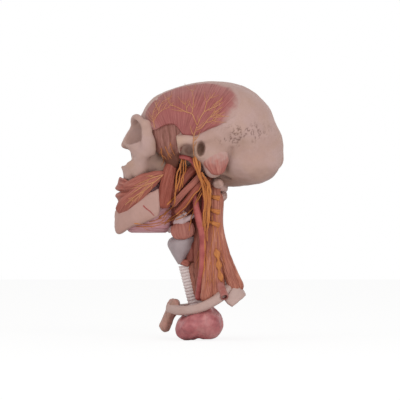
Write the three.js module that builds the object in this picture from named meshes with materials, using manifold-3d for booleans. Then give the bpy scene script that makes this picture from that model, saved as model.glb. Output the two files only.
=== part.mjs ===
// A dissected head and neck in natural size, as used to teach the nerves of the
// face and neck. It stands on the flat undersides of its two lung tops.
// Millimetres, +Z up, face towards -X, the left side towards -Y.

import * as THREE from 'three';
import { mergeVertices } from 'three/addons/utils/BufferGeometryUtils.js';
import Module from 'manifold-3d';

const wasm = await Module();
wasm.setup();

// Head, measured from the middle of the ear canal
const earHeight = 232;
const vaultRise = 84;
const faceDrop = 103;
const faceReach = 100;
const backReach = 104;
const headBreadth = 145;

// Neck, measured from the flat base, up to the underside of the skull
const skullBaseShare = 0.31;
const neckHeight = earHeight - skullBaseShare * faceDrop;
const neckDepth = 100;
const neckBreadth = 100;

// Clearance between pieces that touch, and how far a cut runs past what it cuts
const fitGap = 0.3;
const overrun = 4;

// Facets
const tubeSides = 5;
const muscleSides = 6;
const strapSides = 8;
const levelSides = 8;
const lungSides = 12;
const turnedSides = 8;
const ballSides = 8;
const stepsPerSpan = 1.25;
const rimSamples = 240;

// How far a rounded end stands out, as a share of the strap's depth
const domeShare = 0.25;

// A strap of the same breadth all along
const evenShares = [1, 1];

// Cranium
const craniumOutlineShares = [
  [-0.8, 0.31], [-0.73, 0.47], [-0.6, 0.72], [-0.29, 0.91], [0.16, 1], [0.57, 0.89],
  [0.81, 0.63], [0.92, 0.36], [1, 0.03], [0.96, -0.17], [0.82, -0.34], [0.59, -0.41],
  [0.33, -0.45], [0.08, -0.32], [-0.25, -0.2], [-0.5, -0.08], [-0.72, 0.1],
];
const craniumCentreShares = [0.145, 0.19];
const craniumRoundness = { rim: 2.4, side: 2.2 };
const craniumFacets = { around: 28, across: 14 };
const templeHollow = { depth: 6, radius: 28, placeShares: [-0.47, 0.2] };
const baseTaper = { depth: 14, fromShare: 0.42, toShare: -0.3 };
const mastoid = {
  width: 26, depth: 21,
  routeShares: [
    [0.12, 0.66, 0.05], [0.14, 0.72, -0.12], [0.16, 0.7, -0.29],
  ],
};
const mastoidWidthShares = [1, 1, 0.5];
const cheekRoot = {
  width: 13, depth: 13,
  routeShares: [[-0.275, 0.9, 0.1], [-0.12, 0.88, 0.125], [0.06, 0.86, 0.14], [0.22, 0.84, 0.2]],
};
const cheekRootWidthShares = [1.3, 0.95, 0.75, 0.6];
const rootKnob = { length: 10, width: 10, height: 16, placeShares: [-0.235, 0.89, 0.03] };
const browRidge = {
  width: 9, depth: 8,
  routeShares: [
    [-0.79, 0.1, 0.35], [-0.78, 0.3, 0.43], [-0.73, 0.56, 0.43], [-0.66, 0.68, 0.34],
  ],
};
const lowBack = { length: 62, width: 50, height: 38, placeShares: [0.6, 0.36, -0.2] };
const earRim = { length: 21, width: 24, height: 30, placeShares: [0.015, 0.78, 0] };
const earCanal = { length: 10.5, width: 32, height: 19, placeShares: [0.012, 0.95, 0] };
const jawSocket = { length: 13, width: 34, height: 16, placeShares: [-0.135, 0.88, -0.03] };
const orbit = { length: 54, width: 37, height: 31, turn: 0.36, placeShares: [-0.82, 0.44, 0.25] };
const orbitCanal = { length: 62, width: 13, height: 12, placeShares: [-0.66, 0.34, 0.22] };

// Facial bones
const faceOutlineShares = [
  [-0.82, 0.33], [-0.93, 0.08], [-0.85, -0.03], [-0.86, -0.15], [-0.95, -0.19], [-0.94, -0.3],
  [-0.91, -0.41], [-0.6, -0.41], [-0.44, -0.34], [-0.43, -0.07], [-0.48, 0.18], [-0.62, 0.36],
];
const faceCentreShares = [-0.66, -0.05];
const faceRoundness = { rim: 2.8, side: 2.2 };
const faceFacets = { around: 18, across: 8 };
const browBreadth = 104;
const gumBreadth = 64;
const noseHole = { length: 34, width: 24, height: 27, placeShares: [-0.9, 0, -0.09] };
const noseBridge = {
  width: 12, depth: 9,
  routeShares: [
    [-0.79, 0.05, 0.32], [-0.86, 0.04, 0.17], [-0.905, 0.02, 0.08],
  ],
};

// Cheek bone, cut where its arch is sawn off; it stands out from the middle by shares of the brow
const cheekBone = {
  width: 17, depth: 8,
  routeShares: [[-0.64, 0.98, 0.37], [-0.62, 1.02, 0.22], [-0.61, 1.02, 0.08], [-0.615, 0.95, -0.05]],
};
const cheekBoneWidthShares = [0.75, 0.85, 1.15, 0.95];
const cheekWing = {
  width: 18, depth: 10,
  routeShares: [
    [-0.6, 0.96, 0.02], [-0.7, 0.84, -0.03], [-0.79, 0.62, -0.02],
  ],
};
const cheekWingWidthShares = [1, 1, 0.7];

// Lower jaw, sawn off in front of its angle and without teeth
const jaw = {
  height: 32, depth: 11,
  routeShares: [[-0.475, 0.58, -0.62], [-0.66, 0.5, -0.7], [-0.84, 0.35, -0.79], [-0.955, 0.16, -0.85]],
  chinShares: [-0.99, 0, -0.865],
};
const jawHeightShares = [1.06, 1.03, 0.9, 0.88, 0.92, 0.88, 0.9, 1.03, 1.06];

// How square the section of an upright strap is, from 1 for round towards 0
const uprightSquareness = 0.7;

// Hyoid bone
const hyoid = {
  height: 7, depth: 5,
  routeShares: [[-0.05, 0.25, 0.765], [-0.17, 0.245, 0.73], [-0.3, 0.18, 0.69]],
  bodyShares: [-0.37, 0, 0.672],
};
const hyoidHeightShares = [0.6, 0.8, 1, 1.25, 1, 0.8, 0.6];

// Thyroid cartilage: front edge, back edge, half breadth and height of each level
const shieldLevelShares = [
  [-0.255, -0.21, 0.1, 0.462], [-0.305, -0.16, 0.15, 0.5], [-0.35, -0.1, 0.19, 0.54],
  [-0.38, -0.07, 0.215, 0.575], [-0.36, -0.05, 0.22, 0.605], [-0.31, -0.04, 0.21, 0.625],
];

// Windpipe
const windpipe = { radius: 9, bore: 6, boreDepth: 14, rings: 8, length: 50, ringRise: 1, lean: 0.25 };
const windpipeTopShares = [-0.175, 0, 0.455];
const ringMuscle = { radius: 11, height: 10, waistShare: 0.9 };

// Bones of the spine
const atlas = {
  width: 12, depth: 12,
  wingShares: [[0.2, 0.4, 0.94], [0.18, 0.16, 0.93]],
  archWidth: 10, archDepth: 9,
  backArchShares: [[0.19, 0.2, 0.925], [0.27, 0.14, 0.92], [0.295, -0.02, 0.92]],
  frontArchShares: [[0.16, 0.15, 0.93], [0.11, 0.06, 0.93], [0.11, -0.02, 0.93]],
};
const axis = {
  width: 12, depth: 10,
  wingShares: [[0.17, 0.25, 0.85], [0.14, 0.1, 0.86]],
  archWidth: 14, archDepth: 8,
  backArchShares: [[0.18, 0.13, 0.86], [0.25, 0.07, 0.85], [0.27, -0.02, 0.845]],
  body: { length: 17, width: 22, height: 20, placeShares: [0.12, 0, 0.86] },
};
const column = {
  width: 26, depth: 17, spineRadius: 3.2,
  routeShares: [[0.11, 0, 0.81], [0.09, 0, 0.7], [0.12, 0, 0.58], [0.19, 0, 0.45], [0.28, 0, 0.33]],
  bones: 5, waistShare: 0.84,
};
const columnSpineShares = [0.15, 0, -0.035];

// Upper chest
const firstRib = {
  width: 13, depth: 11,
  routeShares: [
    [-0.36, 0.13, 0.195], [-0.22, 0.38, 0.18], [0, 0.54, 0.2], [0.2, 0.56, 0.25],
    [0.35, 0.42, 0.325], [0.4, 0.18, 0.38],
  ],
};
const firstRibWidthShares = [1.2, 0.95, 1, 1.05, 1, 0.8];
const secondRib = {
  height: 17, depth: 8,
  routeShares: [
    [0.345, 0.54, 0.22], [0.42, 0.5, 0.265], [0.49, 0.4, 0.31], [0.49, 0.2, 0.34],
  ],
};
const secondRibHeightShares = [0.75, 0.95, 1, 0.7];
const breastBone = {
  breadth: 54, depth: 13,
  routeShares: [
    [-0.33, 0, 0.235], [-0.39, 0, 0.155], [-0.46, 0, 0.06],
  ],
};
const breastBoneBreadthShares = [0.72, 1, 0.86, 0.5];
const frontLobe = { length: 35, width: 50, height: 34, placeShares: [-0.13, 0.36, 0.06] };
const backLobe = { length: 38, width: 52, height: 52, placeShares: [0.08, 0.36, 0.1] };
const lungTop = {
  width: 24, depth: 28,
  routeShares: [
    [0.02, 0.35, 0.11], [0.1, 0.35, 0.17], [0.14, 0.36, 0.205],
  ],
};
const lungTopWidthShares = [1.3, 0.9, 0.5];

// Arteries
const carotid = {
  radius: 4.3,
  routeShares: [
    [-0.06, 0.28, 0.9], [-0.03, 0.27, 0.83], [0.03, 0.28, 0.72], [0.035, 0.29, 0.6],
    [0.03, 0.29, 0.45], [0, 0.27, 0.32], [-0.015, 0.25, 0.235],
  ],
};
const innerCarotid = {
  radius: 3.2,
  routeShares: [
    [0.02, 0.28, 0.75], [0.055, 0.29, 0.84], [0.03, 0.28, 0.93], [0.02, 0.27, 1],
  ],
};
const jawArtery = {
  radius: 2.7,
  routeShares: [
    [-0.37, 0.48, -0.08], [-0.25, 0.6, -0.06], [-0.12, 0.66, -0.09], [-0.04, 0.64, -0.2],
    [0.01, 0.56, -0.32], [-0.02, 0.46, -0.42],
  ],
};
const armArtery = {
  radius: 4.4, bore: 2.8, boreDepth: 4,
  routeShares: [
    [0.15, 0.3, 0.37], [0.23, 0.42, 0.34], [0.28, 0.56, 0.29], [0.3, 0.63, 0.26],
  ],
};

// Nerves
const longNerve = {
  radius: 1.9,
  routeShares: [
    [-0.02, 0.53, 1.13], [0.035, 0.52, 1.06], [0.05, 0.46, 0.97], [0.045, 0.385, 0.83],
    [0.05, 0.38, 0.62], [0.04, 0.39, 0.42], [0.02, 0.42, 0.27],
  ],
};
const rootTrunk = {
  radius: 1.8,
  routeShares: [
    [0.06, 0.49, 1.03], [0.11, 0.45, 0.95], [0.12, 0.385, 0.85], [0.12, 0.39, 0.7],
    [0.12, 0.405, 0.62],
  ],
};
const rootBand = {
  width: 5.6, depth: 3, length: 13, drop: 3,
  heightShares: [0.885, 0.81, 0.73],
  startShares: [0.12, 0.375],
};
const armNerve = {
  width: 7, depth: 3.4,
  routeShares: [
    [0.19, 0.39, 0.56], [0.215, 0.42, 0.48], [0.24, 0.46, 0.41], [0.265, 0.5, 0.345],
  ],
};
const armNerveWidthShares = [0.25, 1, 0.35, 1, 0.35, 0.9, 0.3];
const jawNerve = {
  radius: 1.5,
  mainShares: [
    [-0.22, 0.58, -0.09], [-0.25, 0.62, -0.24], [-0.29, 0.63, -0.4], [-0.32, 0.6, -0.55],
    [-0.38, 0.53, -0.7],
  ],
  sideShares: [
    [-0.23, 0.6, -0.14], [-0.19, 0.62, -0.26], [-0.25, 0.63, -0.4], [-0.35, 0.59, -0.5],
    [-0.42, 0.52, -0.57],
  ],
};
const tongueNerve = {
  radius: 1.3,
  mainShares: [
    [0.055, 0.36, 0.92], [0, 0.36, 0.87], [-0.09, 0.335, 0.825], [-0.22, 0.32, 0.79],
    [-0.38, 0.3, 0.745],
  ],
  sideShares: [[-0.02, 0.35, 0.855], [-0.07, 0.32, 0.79], [-0.13, 0.28, 0.73], [-0.16, 0.26, 0.7]],
};
const templeNerve = {
  radius: 1.1,
  stemShares: [[-0.085, 0.19], [-0.06, 0.26], [-0.032, 0.33]],
  frontShares: [[-0.032, 0.33], [-0.1, 0.5], [-0.24, 0.576], [-0.36, 0.64], [-0.39, 0.75]],
  topShares: [[-0.032, 0.33], [0.05, 0.53], [0.086, 0.68], [0.17, 0.78]],
  backShares: [[-0.032, 0.33], [0.064, 0.4], [0.17, 0.476], [0.28, 0.53]],
};

// Muscles of the head
const temple = {
  thickness: 4.4, edge: 1, seat: 1.2, columns: 12, rows: 5,
  lowerShares: [[-0.54, 0.29], [-0.33, 0.31], [-0.2, 0.19], [-0.03, 0.22], [0.2, 0.38]],
  upperShares: [[-0.64, 0.5], [-0.51, 0.71], [-0.2, 0.89], [0.16, 0.94], [0.47, 0.68]],
};
const templeFade = { along: 4, across: 6 };
const deepTemple = {
  width: 36, depth: 7,
  routeShares: [
    [-0.44, 0.76, 0.36], [-0.41, 0.71, 0.2], [-0.35, 0.65, 0.03], [-0.28, 0.6, -0.14],
  ],
};
const deepTempleWidthShares = [1, 0.95, 0.7, 0.35];
const lips = {
  height: 34, depth: 8, lipRadius: 3.6, slit: 1.6, slitDepth: 5,
  routeShares: [[-0.8, 0.42, -0.5], [-0.92, 0.26, -0.5]],
  middleShares: [-0.97, 0, -0.49],
  rollShares: [[-0.89, 0.27], [-0.955, 0.14]],
  rollMiddleShare: -0.98,
  rollUpShares: [-0.455, -0.54],
  slitUpShare: -0.4975,
};
const lipsHeightShares = [0.7, 0.95, 1, 0.95, 0.7];
const cheekMuscle = {
  upper: { width: 15, depth: 7 },
  upperShares: [
    [-0.92, 0.35, -0.46], [-0.82, 0.47, -0.43], [-0.68, 0.55, -0.36], [-0.52, 0.57, -0.3],
    [-0.43, 0.54, -0.27],
  ],
  lower: { width: 17, depth: 8 },
  lowerShares: [
    [-0.98, 0.19, -0.75], [-0.89, 0.42, -0.64], [-0.72, 0.53, -0.5], [-0.55, 0.57, -0.36],
    [-0.43, 0.55, -0.27],
  ],
};
const cheekMuscleWidthShares = [0.85, 1.1, 1.1, 0.8, 0.35];
const innerWing = {
  width: 15, depth: 10,
  routeShares: [
    [-0.33, 0.5, -0.13], [-0.375, 0.56, -0.33], [-0.41, 0.59, -0.52], [-0.44, 0.57, -0.7],
  ],
};
const styloid = {
  width: 11, depth: 7,
  backShares: [[0.05, 0.62, -0.24], [-0.1, 0.6, -0.44], [-0.24, 0.53, -0.62], [-0.37, 0.4, -0.78]],
  frontShares: [[0, 0.54, -0.17], [-0.14, 0.55, -0.29], [-0.27, 0.53, -0.44], [-0.39, 0.46, -0.58]],
};
const stump = {
  width: 32, depth: 13,
  routeShares: [
    [0.25, 0.8, 0.22], [0.235, 0.85, 0.06], [0.21, 0.88, -0.1], [0.17, 0.82, -0.3],
  ],
};
const stumpWidthShares = [0.45, 0.85, 1.05, 0.8];

// Mouth floor and throat: front edge, back edge, half breadth and height of each level
const mouthLevelShares = [
  [-0.86, -0.4, 0.2, -0.98], [-0.92, -0.35, 0.38, -0.9], [-0.93, -0.3, 0.42, -0.75],
  [-0.92, -0.3, 0.42, -0.6], [-0.9, -0.32, 0.4, -0.42],
];
const throatLevelShares = [
  [-0.19, 0, 0.13, 0.475], [-0.2, -0.01, 0.15, 0.55], [-0.26, 0, 0.17, 0.64], [-0.36, 0.02, 0.2, 0.74],
  [-0.44, 0.04, 0.22, 0.85], [-0.46, 0.05, 0.22, 0.95], [-0.44, 0.04, 0.2, 1.07],
];
const gullet = {
  width: 26, depth: 17,
  routeShares: [
    [-0.09, 0, 0.48], [-0.06, 0, 0.4], [-0.02, 0, 0.3], [0.02, 0, 0.23],
  ],
};

// Muscles of the neck
const shieldMuscle = {
  width: 29, depth: 6.5,
  routeShares: [
    [-0.225, 0.215, 0.715], [-0.205, 0.245, 0.67], [-0.19, 0.243, 0.615],
  ],
};
const shieldMuscleWidthShares = [0.85, 1.05, 0.8];
const scalene = {
  width: 25, depth: 14,
  routeShares: [
    [0.15, 0.25, 0.94], [0.13, 0.285, 0.76], [0.13, 0.31, 0.6], [0.145, 0.34, 0.45],
    [0.155, 0.42, 0.3], [0.15, 0.48, 0.235],
  ],
};
const scaleneWidthShares = [0.8, 1, 1, 1.05, 1.2, 1.1];
const levator = {
  width: 14, depth: 14,
  routeShares: [
    [0.25, 0.16, 0.88], [0.245, 0.19, 0.71], [0.3, 0.25, 0.55], [0.39, 0.31, 0.42],
    [0.475, 0.39, 0.3],
  ],
};

// Colours
const boneLook = { color: '#bd9f97', roughness: 0.6 };
const muscleLook = { color: '#9e5f58', roughness: 0.5 };
const nerveLook = { color: '#cf8a4e', roughness: 0.45 };
const arteryLook = { color: '#b65f66', roughness: 0.4 };
const cartilageLook = { color: '#b9abae', roughness: 0.5 };
const lungLook = { color: '#b4656a', roughness: 0.4 };

const outward = new THREE.Vector3(0, -1, 0);
const upward = new THREE.Vector3(0, 0, 1);
const forward = new THREE.Vector3(-1, 0, 0);

// A place in the head: back from the ear, out from the middle, up from the ear
function headPoint([back, out, up]) {
  return new THREE.Vector3(
    back * (back < 0 ? faceReach : backReach),
    -out * headBreadth / 2,
    earHeight + up * (up < 0 ? faceDrop : vaultRise),
  );
}

// A place in the neck: back, out from the middle, up from the base
function neckPoint([back, out, up]) {
  return new THREE.Vector3(back * neckDepth, -out * neckBreadth, up * neckHeight);
}

function mirrored(point) {
  return new THREE.Vector3(point.x, -point.y, point.z);
}

// A route that runs round the front of the head or neck, from left to right
function arch(points, middle) {
  return [...points, middle, ...points.map(mirrored).reverse()];
}

// A value read between evenly spaced shares
function between(shares, t) {
  const place = t * (shares.length - 1);
  const index = Math.min(Math.floor(place), shares.length - 2);
  const rest = place - index;
  const blend = rest * rest * (3 - 2 * rest);
  return shares[index] * (1 - blend) + shares[index + 1] * blend;
}

function volumeOf(points, faces) {
  let sum = 0;
  for (let i = 0; i < faces.length; i += 3) {
    const [a, b, c] = [points[faces[i]], points[faces[i + 1]], points[faces[i + 2]]];
    sum += a.dot(b.clone().cross(c)) / 6;
  }
  return sum;
}

// A solid from corner points and triangles, turned so that its faces point out
function solidFrom(points, faces) {
  const flip = volumeOf(points, faces) < 0;
  const corners = Float32Array.from(points.flatMap((p) => [p.x, p.y, p.z]));
  const triangles = Uint32Array.from(faces);
  if (flip) triangles.reverse();
  return new wasm.Manifold(new wasm.Mesh({ numProp: 3, vertProperties: corners, triVerts: triangles }));
}

function solidFromGeometry(geometry) {
  const bare = new THREE.BufferGeometry();
  bare.setAttribute('position', geometry.getAttribute('position'));
  bare.setIndex(geometry.index);
  const merged = mergeVertices(bare);
  const place = merged.getAttribute('position');
  const cornerAt = (_, i) => new THREE.Vector3().fromBufferAttribute(place, i);
  const points = Array.from({ length: place.count }, cornerAt);
  return solidFrom(points, Array.from(merged.index.array));
}

// A closed body through rings with the same number of points, with a tip at each end
function ringBody(rings, firstTip, lastTip, mirrorFrom = rings.length) {
  const count = rings[0].length;
  const points = [...rings.flat(), firstTip, lastTip];
  const firstIndex = points.length - 2;
  const lastIndex = points.length - 1;
  const lastRing = (rings.length - 1) * count;
  const faces = [];
  for (let i = 0; i < count; i++) {
    const next = (i + 1) % count;
    for (let start = 0; start < lastRing; start += count) {
      const [a, b, c, d] = [start + i, start + next, start + count + next, start + count + i];
      faces.push(...(start < mirrorFrom * count ? [a, b, c, a, c, d] : [b, c, d, b, d, a]));
    }
    faces.push(firstIndex, next, i);
    faces.push(lastIndex, lastRing + i, lastRing + next);
  }
  return solidFrom(points, faces);
}

// A thin closed body between an outer and an inner grid of points
function shellBody(outer, inner) {
  const rows = outer.length;
  const columns = outer[0].length;
  const points = [...outer.flat(), ...inner.flat()];
  const at = (layer, row, column) => (layer * rows + row) * columns + column;
  const faces = [];
  const quad = (a, b, c, d) => faces.push(a, b, c, a, c, d);
  for (let row = 0; row + 1 < rows; row++) {
    for (let column = 0; column + 1 < columns; column++) {
      quad(at(0, row, column), at(0, row + 1, column), at(0, row + 1, column + 1), at(0, row, column + 1));
      quad(at(1, row, column), at(1, row, column + 1), at(1, row + 1, column + 1), at(1, row + 1, column));
    }
    quad(at(0, row + 1, 0), at(0, row, 0), at(1, row, 0), at(1, row + 1, 0));
    const last = columns - 1;
    quad(at(0, row, last), at(0, row + 1, last), at(1, row + 1, last), at(1, row, last));
  }
  for (let column = 0; column + 1 < columns; column++) {
    quad(at(0, 0, column), at(0, 0, column + 1), at(1, 0, column + 1), at(1, 0, column));
    const last = rows - 1;
    quad(at(0, last, column + 1), at(0, last, column), at(1, last, column), at(1, last, column + 1));
  }
  return solidFrom(points, faces);
}

// A strap or a flat bone that follows a route, with its broad side facing outwards
function strap(points, { width, depth }, options = {}) {
  const {
    facing = outward, widthShares = evenShares, depthShares = evenShares,
    sides = strapSides, grow = 0, dome = 0,
  } = options;
  const curve = new THREE.CatmullRomCurve3(points);
  const steps = Math.max(Math.round((points.length - 1) * stepsPerSpan), widthShares.length - 1);
  const rings = [];
  const centres = [];
  const ways = [];
  for (let step = 0; step <= steps; step++) {
    const t = step / steps;
    const way = curve.getTangentAt(t);
    const end = step === 0 ? -grow : step === steps ? grow : 0;
    const centre = curve.getPointAt(t).addScaledVector(way, end);
    const across = way.clone().cross(facing).normalize();
    const out = across.clone().cross(way).normalize();
    const halfWidth = width * between(widthShares, t) / 2 + grow;
    const halfDepth = depth * between(depthShares, t) / 2 + grow;
    rings.push(Array.from({ length: sides }, (_, side) => {
      const angle = side / sides * Math.PI * 2;
      return centre.clone()
        .addScaledVector(across, Math.cos(angle) * halfWidth)
        .addScaledVector(out, Math.sin(angle) * halfDepth);
    }));
    centres.push(centre);
    ways.push(way);
  }
  const reach = dome * depth;
  const firstTip = centres[0].clone().addScaledVector(ways[0], -reach);
  const lastTip = centres[steps].clone().addScaledVector(ways[steps], reach);
  return ringBody(rings, firstTip, lastTip);
}

// A round vessel or nerve along a route
function tube(points, radius, grow = 0) {
  const run = points.map((point) => point.clone());
  const last = run.length - 1;
  run[0].add(run[0].clone().sub(run[1]).setLength(grow + Number.EPSILON));
  run[last].add(run[last].clone().sub(run[last - 1]).setLength(grow + Number.EPSILON));
  const section = new THREE.Shape();
  section.absarc(0, 0, radius + grow, 0, Math.PI * 2);
  return solidFromGeometry(new THREE.ExtrudeGeometry(section, {
    steps: Math.round(last * stepsPerSpan),
    curveSegments: tubeSides / 2,
    bevelEnabled: false,
    extrudePath: new THREE.CatmullRomCurve3(run),
  }));
}

function ellipsoid(centre, { length, width, height }, { turn = 0, grow = 0 } = {}) {
  const ball = new THREE.SphereGeometry(1, ballSides, ballSides * 2 / 3);
  ball.scale(length / 2 + grow, width / 2 + grow, height / 2 + grow);
  ball.rotateZ(turn);
  ball.translate(centre.x, centre.y, centre.z);
  return solidFromGeometry(ball);
}

// A body through oval levels given by front, back, half breadth and height shares
function levelBody(levelShares, placeOf, grow) {
  const last = levelShares.length - 1;
  const rings = levelShares.map(([front, back, half, up], level) => {
    const frontEdge = placeOf([front, 0, up]);
    const backEdge = placeOf([back, 0, up]);
    const sideEdge = placeOf([front, half, up]);
    const centre = frontEdge.clone().add(backEdge).divideScalar(2);
    const halfLength = (backEdge.x - frontEdge.x) / 2 + grow;
    const halfBreadth = Math.abs(sideEdge.y) + grow;
    const lift = level === 0 ? -grow : level === last ? grow : 0;
    return Array.from({ length: levelSides }, (_, side) => {
      const angle = (side + 1 / 2) / levelSides * Math.PI * 2;
      const x = Math.cos(angle) * halfLength;
      const y = Math.sin(angle) * halfBreadth;
      return new THREE.Vector3(centre.x + x, y, centre.z + lift);
    });
  });
  return ringBody(rings, middleOf(rings[0]), middleOf(rings[last]));
}

function middleOf(ring) {
  return ring.reduce((sum, point) => sum.add(point), new THREE.Vector3()).divideScalar(ring.length);
}

// A body given by its outline seen from the side and by its half breadth inside that outline
function sideForm(outlineShares, centreShares, roundness, breadthAt) {
  const flat = ([back, up]) => headPoint([back, 0, up]);
  const centre = flat(centreShares);
  const rim = new THREE.CatmullRomCurve3(outlineShares.map(flat), true).getSpacedPoints(rimSamples);
  const polar = rim.map((p) => {
    const arm = p.clone().sub(centre);
    return { angle: Math.atan2(arm.z, arm.x), radius: Math.hypot(arm.x, arm.z) };
  }).sort((a, b) => a.angle - b.angle);

  function radiusAt(angle) {
    const turned = Math.atan2(Math.sin(angle), Math.cos(angle));
    const after = polar.findIndex((entry) => entry.angle >= turned);
    const high = polar[after < 0 ? 0 : after];
    const low = polar[after <= 0 ? polar.length - 1 : after - 1];
    const span = (high.angle - low.angle + Math.PI * 2) % (Math.PI * 2);
    const along = (turned - low.angle + Math.PI * 2) % (Math.PI * 2);
    return low.radius + (high.radius - low.radius) * (span > 0 ? along / span : 0);
  }

  function halfBreadth(x, z, grow) {
    const arm = Math.hypot(x - centre.x, z - centre.z);
    const share = arm / (radiusAt(Math.atan2(z - centre.z, x - centre.x)) + grow);
    const fullness = Math.max(1 - share ** roundness.rim, 0) ** (1 / roundness.side);
    return (breadthAt(x, z) + grow) * fullness;
  }

  function solid({ around, across }, grow) {
    const rings = [];
    for (let level = 1; level < across; level++) {
      const slope = level / across * Math.PI - Math.PI / 2;
      const share = Math.cos(slope);
      rings.push(Array.from({ length: around }, (_, i) => {
        const angle = i / around * Math.PI * 2;
        const arm = (radiusAt(angle) + grow) * share;
        const x = centre.x + Math.cos(angle) * arm;
        const z = centre.z + Math.sin(angle) * arm;
        const y = level * 2 === across ? 0 : Math.sign(slope) * halfBreadth(x, z, grow);
        return new THREE.Vector3(x, y, z);
      }));
    }
    const pole = halfBreadth(centre.x, centre.z, grow);
    const tip = (side) => new THREE.Vector3(centre.x, side * pole, centre.z);
    return ringBody(rings, tip(-1), tip(1), across / 2 - 1);
  }
  return { halfBreadth, solid };
}

function smoothRise(value, from, to) {
  const t = Math.min(Math.max((value - from) / (to - from), 0), 1);
  return t * t * (3 - 2 * t);
}

// Half breadth of the braincase, hollowed at the temple and drawn in towards its base
function craniumBreadth(x, z) {
  const [back, up] = templeHollow.placeShares;
  const place = headPoint([back, 0, up]);
  const away = Math.hypot(x - place.x, z - place.z) / templeHollow.radius;
  const hollow = templeHollow.depth * Math.exp(-away * away);
  const from = headPoint([0, 0, baseTaper.fromShare]).z;
  const to = headPoint([0, 0, baseTaper.toShare]).z;
  return headBreadth / 2 - hollow - baseTaper.depth * smoothRise(z, from, to);
}

// Half breadth of the face, wide at the brow and narrow at the gum
function faceBreadth(x, z) {
  const gum = headPoint([0, 0, faceOutlineShares[6][1]]).z;
  const brow = headPoint([0, 0, faceOutlineShares[0][1]]).z;
  return (gumBreadth + (browBreadth - gumBreadth) * smoothRise(z, gum, brow)) / 2;
}

const craniumForm = sideForm(craniumOutlineShares, craniumCentreShares, craniumRoundness, craniumBreadth);
const faceForm = sideForm(faceOutlineShares, faceCentreShares, faceRoundness, faceBreadth);

const headRoute = (shares) => shares.map(headPoint);
const neckRoute = (shares) => shares.map(neckPoint);

function join(solids) {
  return solids.reduce((sum, solid) => sum.add(solid));
}

function cutFrom(solid, cutters) {
  return cutters.reduce((rest, cutter) => rest.subtract(cutter), solid);
}

function bothPlaces(shares) {
  const place = headPoint(shares);
  return [place, mirrored(place)];
}

// The two eye sockets with their canals, as solids to cut away
function orbitCuts() {
  const [left, right] = bothPlaces(orbit.placeShares);
  const [leftCanal, rightCanal] = bothPlaces(orbitCanal.placeShares);
  return [
    ellipsoid(left, orbit, { turn: orbit.turn }),
    ellipsoid(right, orbit, { turn: -orbit.turn }),
    ellipsoid(leftCanal, orbitCanal, { turn: -orbit.turn }),
    ellipsoid(rightCanal, orbitCanal, { turn: orbit.turn }),
  ];
}

// A solid and its mirror image on the other side of the middle, as one
function onBothSides(solid) {
  return solid.add(mirroredSolid(solid));
}

// What stands proud of the braincase: mastoids, cheek roots with their knobs, and ear rims
function craniumKnobs(grow) {
  return onBothSides(join([
    strap(headRoute(mastoid.routeShares), mastoid, {
      widthShares: mastoidWidthShares, depthShares: mastoidWidthShares, grow, dome: domeShare,
    }),
    strap(headRoute(cheekRoot.routeShares), cheekRoot, { widthShares: cheekRootWidthShares, grow }),
    ellipsoid(headPoint(rootKnob.placeShares), rootKnob, { grow }),
    ellipsoid(headPoint(earRim.placeShares), earRim, { grow }),
  ]));
}

function craniumSolid(grow) {
  const swellings = onBothSides(join([
    strap(headRoute(browRidge.routeShares), browRidge, { grow }),
    ellipsoid(headPoint(lowBack.placeShares), lowBack, { grow }),
  ]));
  const whole = join([craniumForm.solid(craniumFacets, grow), craniumKnobs(grow), swellings]);
  if (grow > 0) return whole;
  const hollows = [
    ...bothPlaces(earCanal.placeShares).map((place) => ellipsoid(place, earCanal)),
    ...bothPlaces(jawSocket.placeShares).map((place) => ellipsoid(place, jawSocket)),
  ];
  return cutFrom(whole, [...hollows, ...orbitCuts()]);
}

function faceSolid(grow) {
  const bridge = onBothSides(strap(headRoute(noseBridge.routeShares), noseBridge, { facing: forward, grow }));
  const solid = faceForm.solid(faceFacets, grow).add(bridge);
  if (grow > 0) return solid;
  const hole = ellipsoid(headPoint(noseHole.placeShares), noseHole);
  return cutFrom(solid, [hole, ...orbitCuts()]);
}

// A place in the face: as in the head, but out from the middle by a share of the brow
function facePoint([back, out, up]) {
  return headPoint([back, out * browBreadth / headBreadth, up]);
}

function cheekBoneSolid(grow) {
  const solid = join([
    strap(cheekBone.routeShares.map(facePoint), cheekBone, { widthShares: cheekBoneWidthShares, grow }),
    strap(cheekWing.routeShares.map(facePoint), cheekWing, { widthShares: cheekWingWidthShares, grow }),
  ]);
  return grow > 0 ? solid : cutFrom(solid, orbitCuts());
}

function jawSolid(grow) {
  const route = arch(headRoute(jaw.routeShares), headPoint(jaw.chinShares));
  const size = { width: jaw.height, depth: jaw.depth };
  return archStrap(route, size, jawHeightShares, grow);
}

// A strap on edge that bends round the front, kept upright all the way
function archStrap(route, size, heightShares, grow) {
  const curve = new THREE.CatmullRomCurve3(route);
  const steps = Math.max(Math.round((route.length - 1) * stepsPerSpan), heightShares.length - 1);
  const rings = [];
  for (let step = 0; step <= steps; step++) {
    const t = step / steps;
    const way = curve.getTangentAt(t);
    const end = step === 0 ? -grow : step === steps ? grow : 0;
    const centre = curve.getPointAt(t).addScaledVector(way, end);
    const out = way.clone().cross(upward).normalize();
    const halfHeight = size.width * between(heightShares, t) / 2 + grow;
    const halfDepth = size.depth / 2 + grow;
    rings.push(Array.from({ length: strapSides }, (_, side) => {
      const angle = side / strapSides * Math.PI * 2;
      const bulge = Math.sign(Math.sin(angle)) * Math.abs(Math.sin(angle)) ** uprightSquareness;
      return centre.clone()
        .addScaledVector(upward, Math.cos(angle) * halfHeight)
        .addScaledVector(out, bulge * halfDepth);
    }));
  }
  return ringBody(rings, middleOf(rings[0]), middleOf(rings[steps]));
}

function hyoidSolid(grow) {
  const route = arch(neckRoute(hyoid.routeShares), neckPoint(hyoid.bodyShares));
  return archStrap(route, { width: hyoid.height, depth: hyoid.depth }, hyoidHeightShares, grow);
}

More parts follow.
